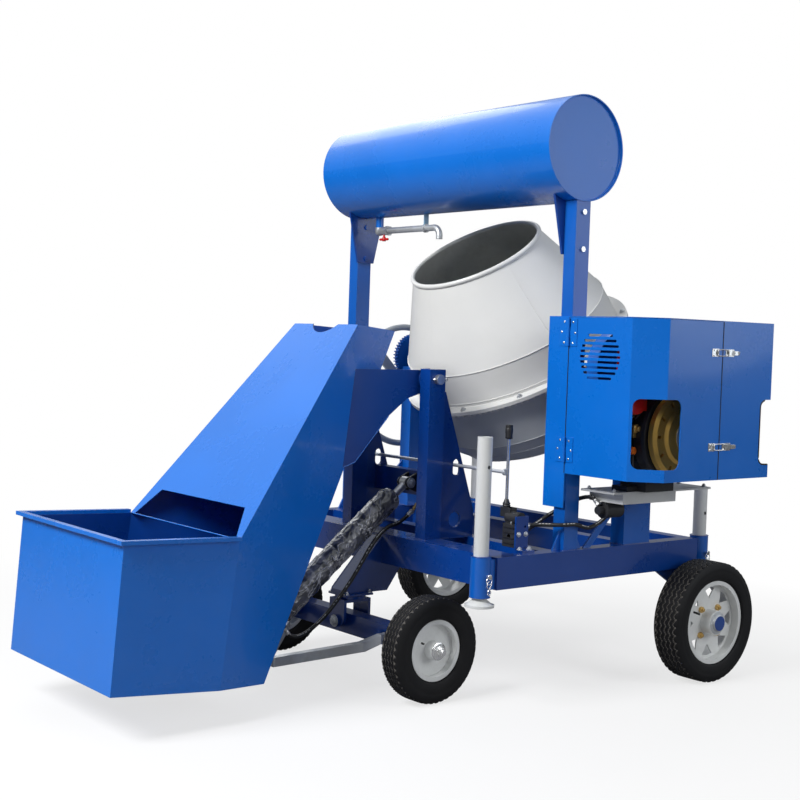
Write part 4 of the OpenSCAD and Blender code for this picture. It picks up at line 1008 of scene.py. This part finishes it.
# ---------------------------------------------------------------- floor, light, camera
def floor():
    """A pale floor that turns white to the camera away from the mixer, and stays dim for the rest."""
    bpy.ops.mesh.primitive_plane_add(size=80.0, location=(0, 0, -0.0005))
    obj = bpy.context.object
    obj.name = "floor"
    g = Graph("floor_pale")
    path = g.add("ShaderNodeLightPath")
    g.join(g.mix(path.outputs["Is Camera Ray"], (0.30, 0.30, 0.31), (0.88, 0.88, 0.88)),
           g.bsdf.inputs["Base Color"])
    g.bsdf.inputs["Roughness"].default_value = 0.9
    g.bsdf.inputs["Specular IOR Level"].default_value = 0.1
    far = g.add("ShaderNodeVectorMath", operation="LENGTH")
    g.join(g.coord, far.inputs[0])
    fade = g.ramp(far.outputs["Value"], 1.3, 3.4, 0.70, 1.0)
    seen = g.math("MULTIPLY", path.outputs["Is Camera Ray"], fade)
    white = g.add("ShaderNodeEmission")
    white.inputs["Strength"].default_value = 1.0
    blend = g.add("ShaderNodeMixShader")
    g.join(seen, blend.inputs[0])
    g.join(g.bsdf.outputs[0], blend.inputs[1])
    g.join(white.outputs[0], blend.inputs[2])
    g.join(blend.outputs[0], g.out.inputs["Surface"])
    obj.data.materials.append(g.mat)


def lamp(name, loc, size, power, aim, tint=(1, 1, 1)):
    """A round area lamp that looks at the point aim."""
    data = bpy.data.lights.new(name, "AREA")
    data.shape = "DISK"
    data.size = size
    data.energy = power
    data.color = tint
    obj = bpy.data.objects.new(name, data)
    obj.location = loc
    obj.rotation_mode = "QUATERNION"
    obj.rotation_quaternion = (Vector(aim) - Vector(loc)).to_track_quat("-Z", "Y")
    bpy.context.scene.collection.objects.link(obj)


def world():
    """White to the camera, a soft pale dome over a dim horizon in reflections, and a low even fill."""
    w = bpy.data.worlds.new("studio")
    bpy.context.scene.world = w
    w.use_nodes = True
    t = w.node_tree
    t.nodes.clear()
    join = t.links.new
    out = t.nodes.new("ShaderNodeOutputWorld")
    white, dome, fill = (t.nodes.new("ShaderNodeBackground") for _ in range(3))
    white.inputs["Color"].default_value = (1, 1, 1, 1)
    fill.inputs["Color"].default_value = (0.92, 0.96, 1.0, 1)
    fill.inputs["Strength"].default_value = 0.19
    dome.inputs["Color"].default_value = (0.90, 0.95, 1.0, 1)
    coord = t.nodes.new("ShaderNodeTexCoord")
    split = t.nodes.new("ShaderNodeSeparateXYZ")
    height = t.nodes.new("ShaderNodeMapRange")
    height.inputs["From Min"].default_value = -0.02
    height.inputs["From Max"].default_value = 0.75
    height.inputs["To Min"].default_value = 0.04
    height.inputs["To Max"].default_value = 1.0
    join(coord.outputs["Generated"], split.inputs[0])
    join(split.outputs["Z"], height.inputs["Value"])
    join(height.outputs["Result"], dome.inputs["Strength"])
    path = t.nodes.new("ShaderNodeLightPath")
    inner, outer = (t.nodes.new("ShaderNodeMixShader") for _ in range(2))
    join(path.outputs["Is Glossy Ray"], inner.inputs[0])
    join(fill.outputs[0], inner.inputs[1])
    join(dome.outputs[0], inner.inputs[2])
    join(path.outputs["Is Camera Ray"], outer.inputs[0])
    join(inner.outputs[0], outer.inputs[1])
    join(white.outputs[0], outer.inputs[2])
    join(outer.outputs[0], out.inputs["Surface"])


def camera():
    """The one camera, solved from the object's verticals and circles; angles in radians."""
    yaw, pitch, roll = 0.6765, 0.0433, 0.0339
    fwd = Vector((-math.sin(yaw) * math.cos(pitch), -math.cos(yaw) * math.cos(pitch), -math.sin(pitch)))
    right = Vector((-math.cos(yaw), math.sin(yaw), 0))
    up = right.cross(fwd)
    rolled_right = right * math.cos(roll) + up * math.sin(roll)
    rolled_up = up * math.cos(roll) - right * math.sin(roll)
    data = bpy.data.cameras.new("view")
    data.lens = 61.03
    data.sensor_width = 36.0
    obj = bpy.data.objects.new("view", data)
    m = Matrix((rolled_right, rolled_up, -fwd)).transposed().to_4x4()
    m.translation = W(4464.9, 4349.0, 1349.0)
    obj.matrix_world = m
    bpy.context.scene.collection.objects.link(obj)
    bpy.context.scene.camera = obj


floor()
world()
lamp("key", (5.3, 0.3, 4.8), 3.0, 500, aim=(0.2, 0, 1.0))
lamp("side", (-2.3, 5.8, 3.1), 3.4, 95, aim=(-0.3, 0, 1.0), tint=(0.95, 0.97, 1.0))
lamp("horizon", (-5.6, 5.2, 2.4), 2.6, 28, aim=(-0.8, 0.8, 1.3), tint=(0.86, 0.93, 1.0))
lamp("back", (-1.8, -5.6, 4.5), 5.0, 115, aim=(0, 0, 1.0))
camera()
bpy.context.scene.view_settings.view_transform = "Standard"
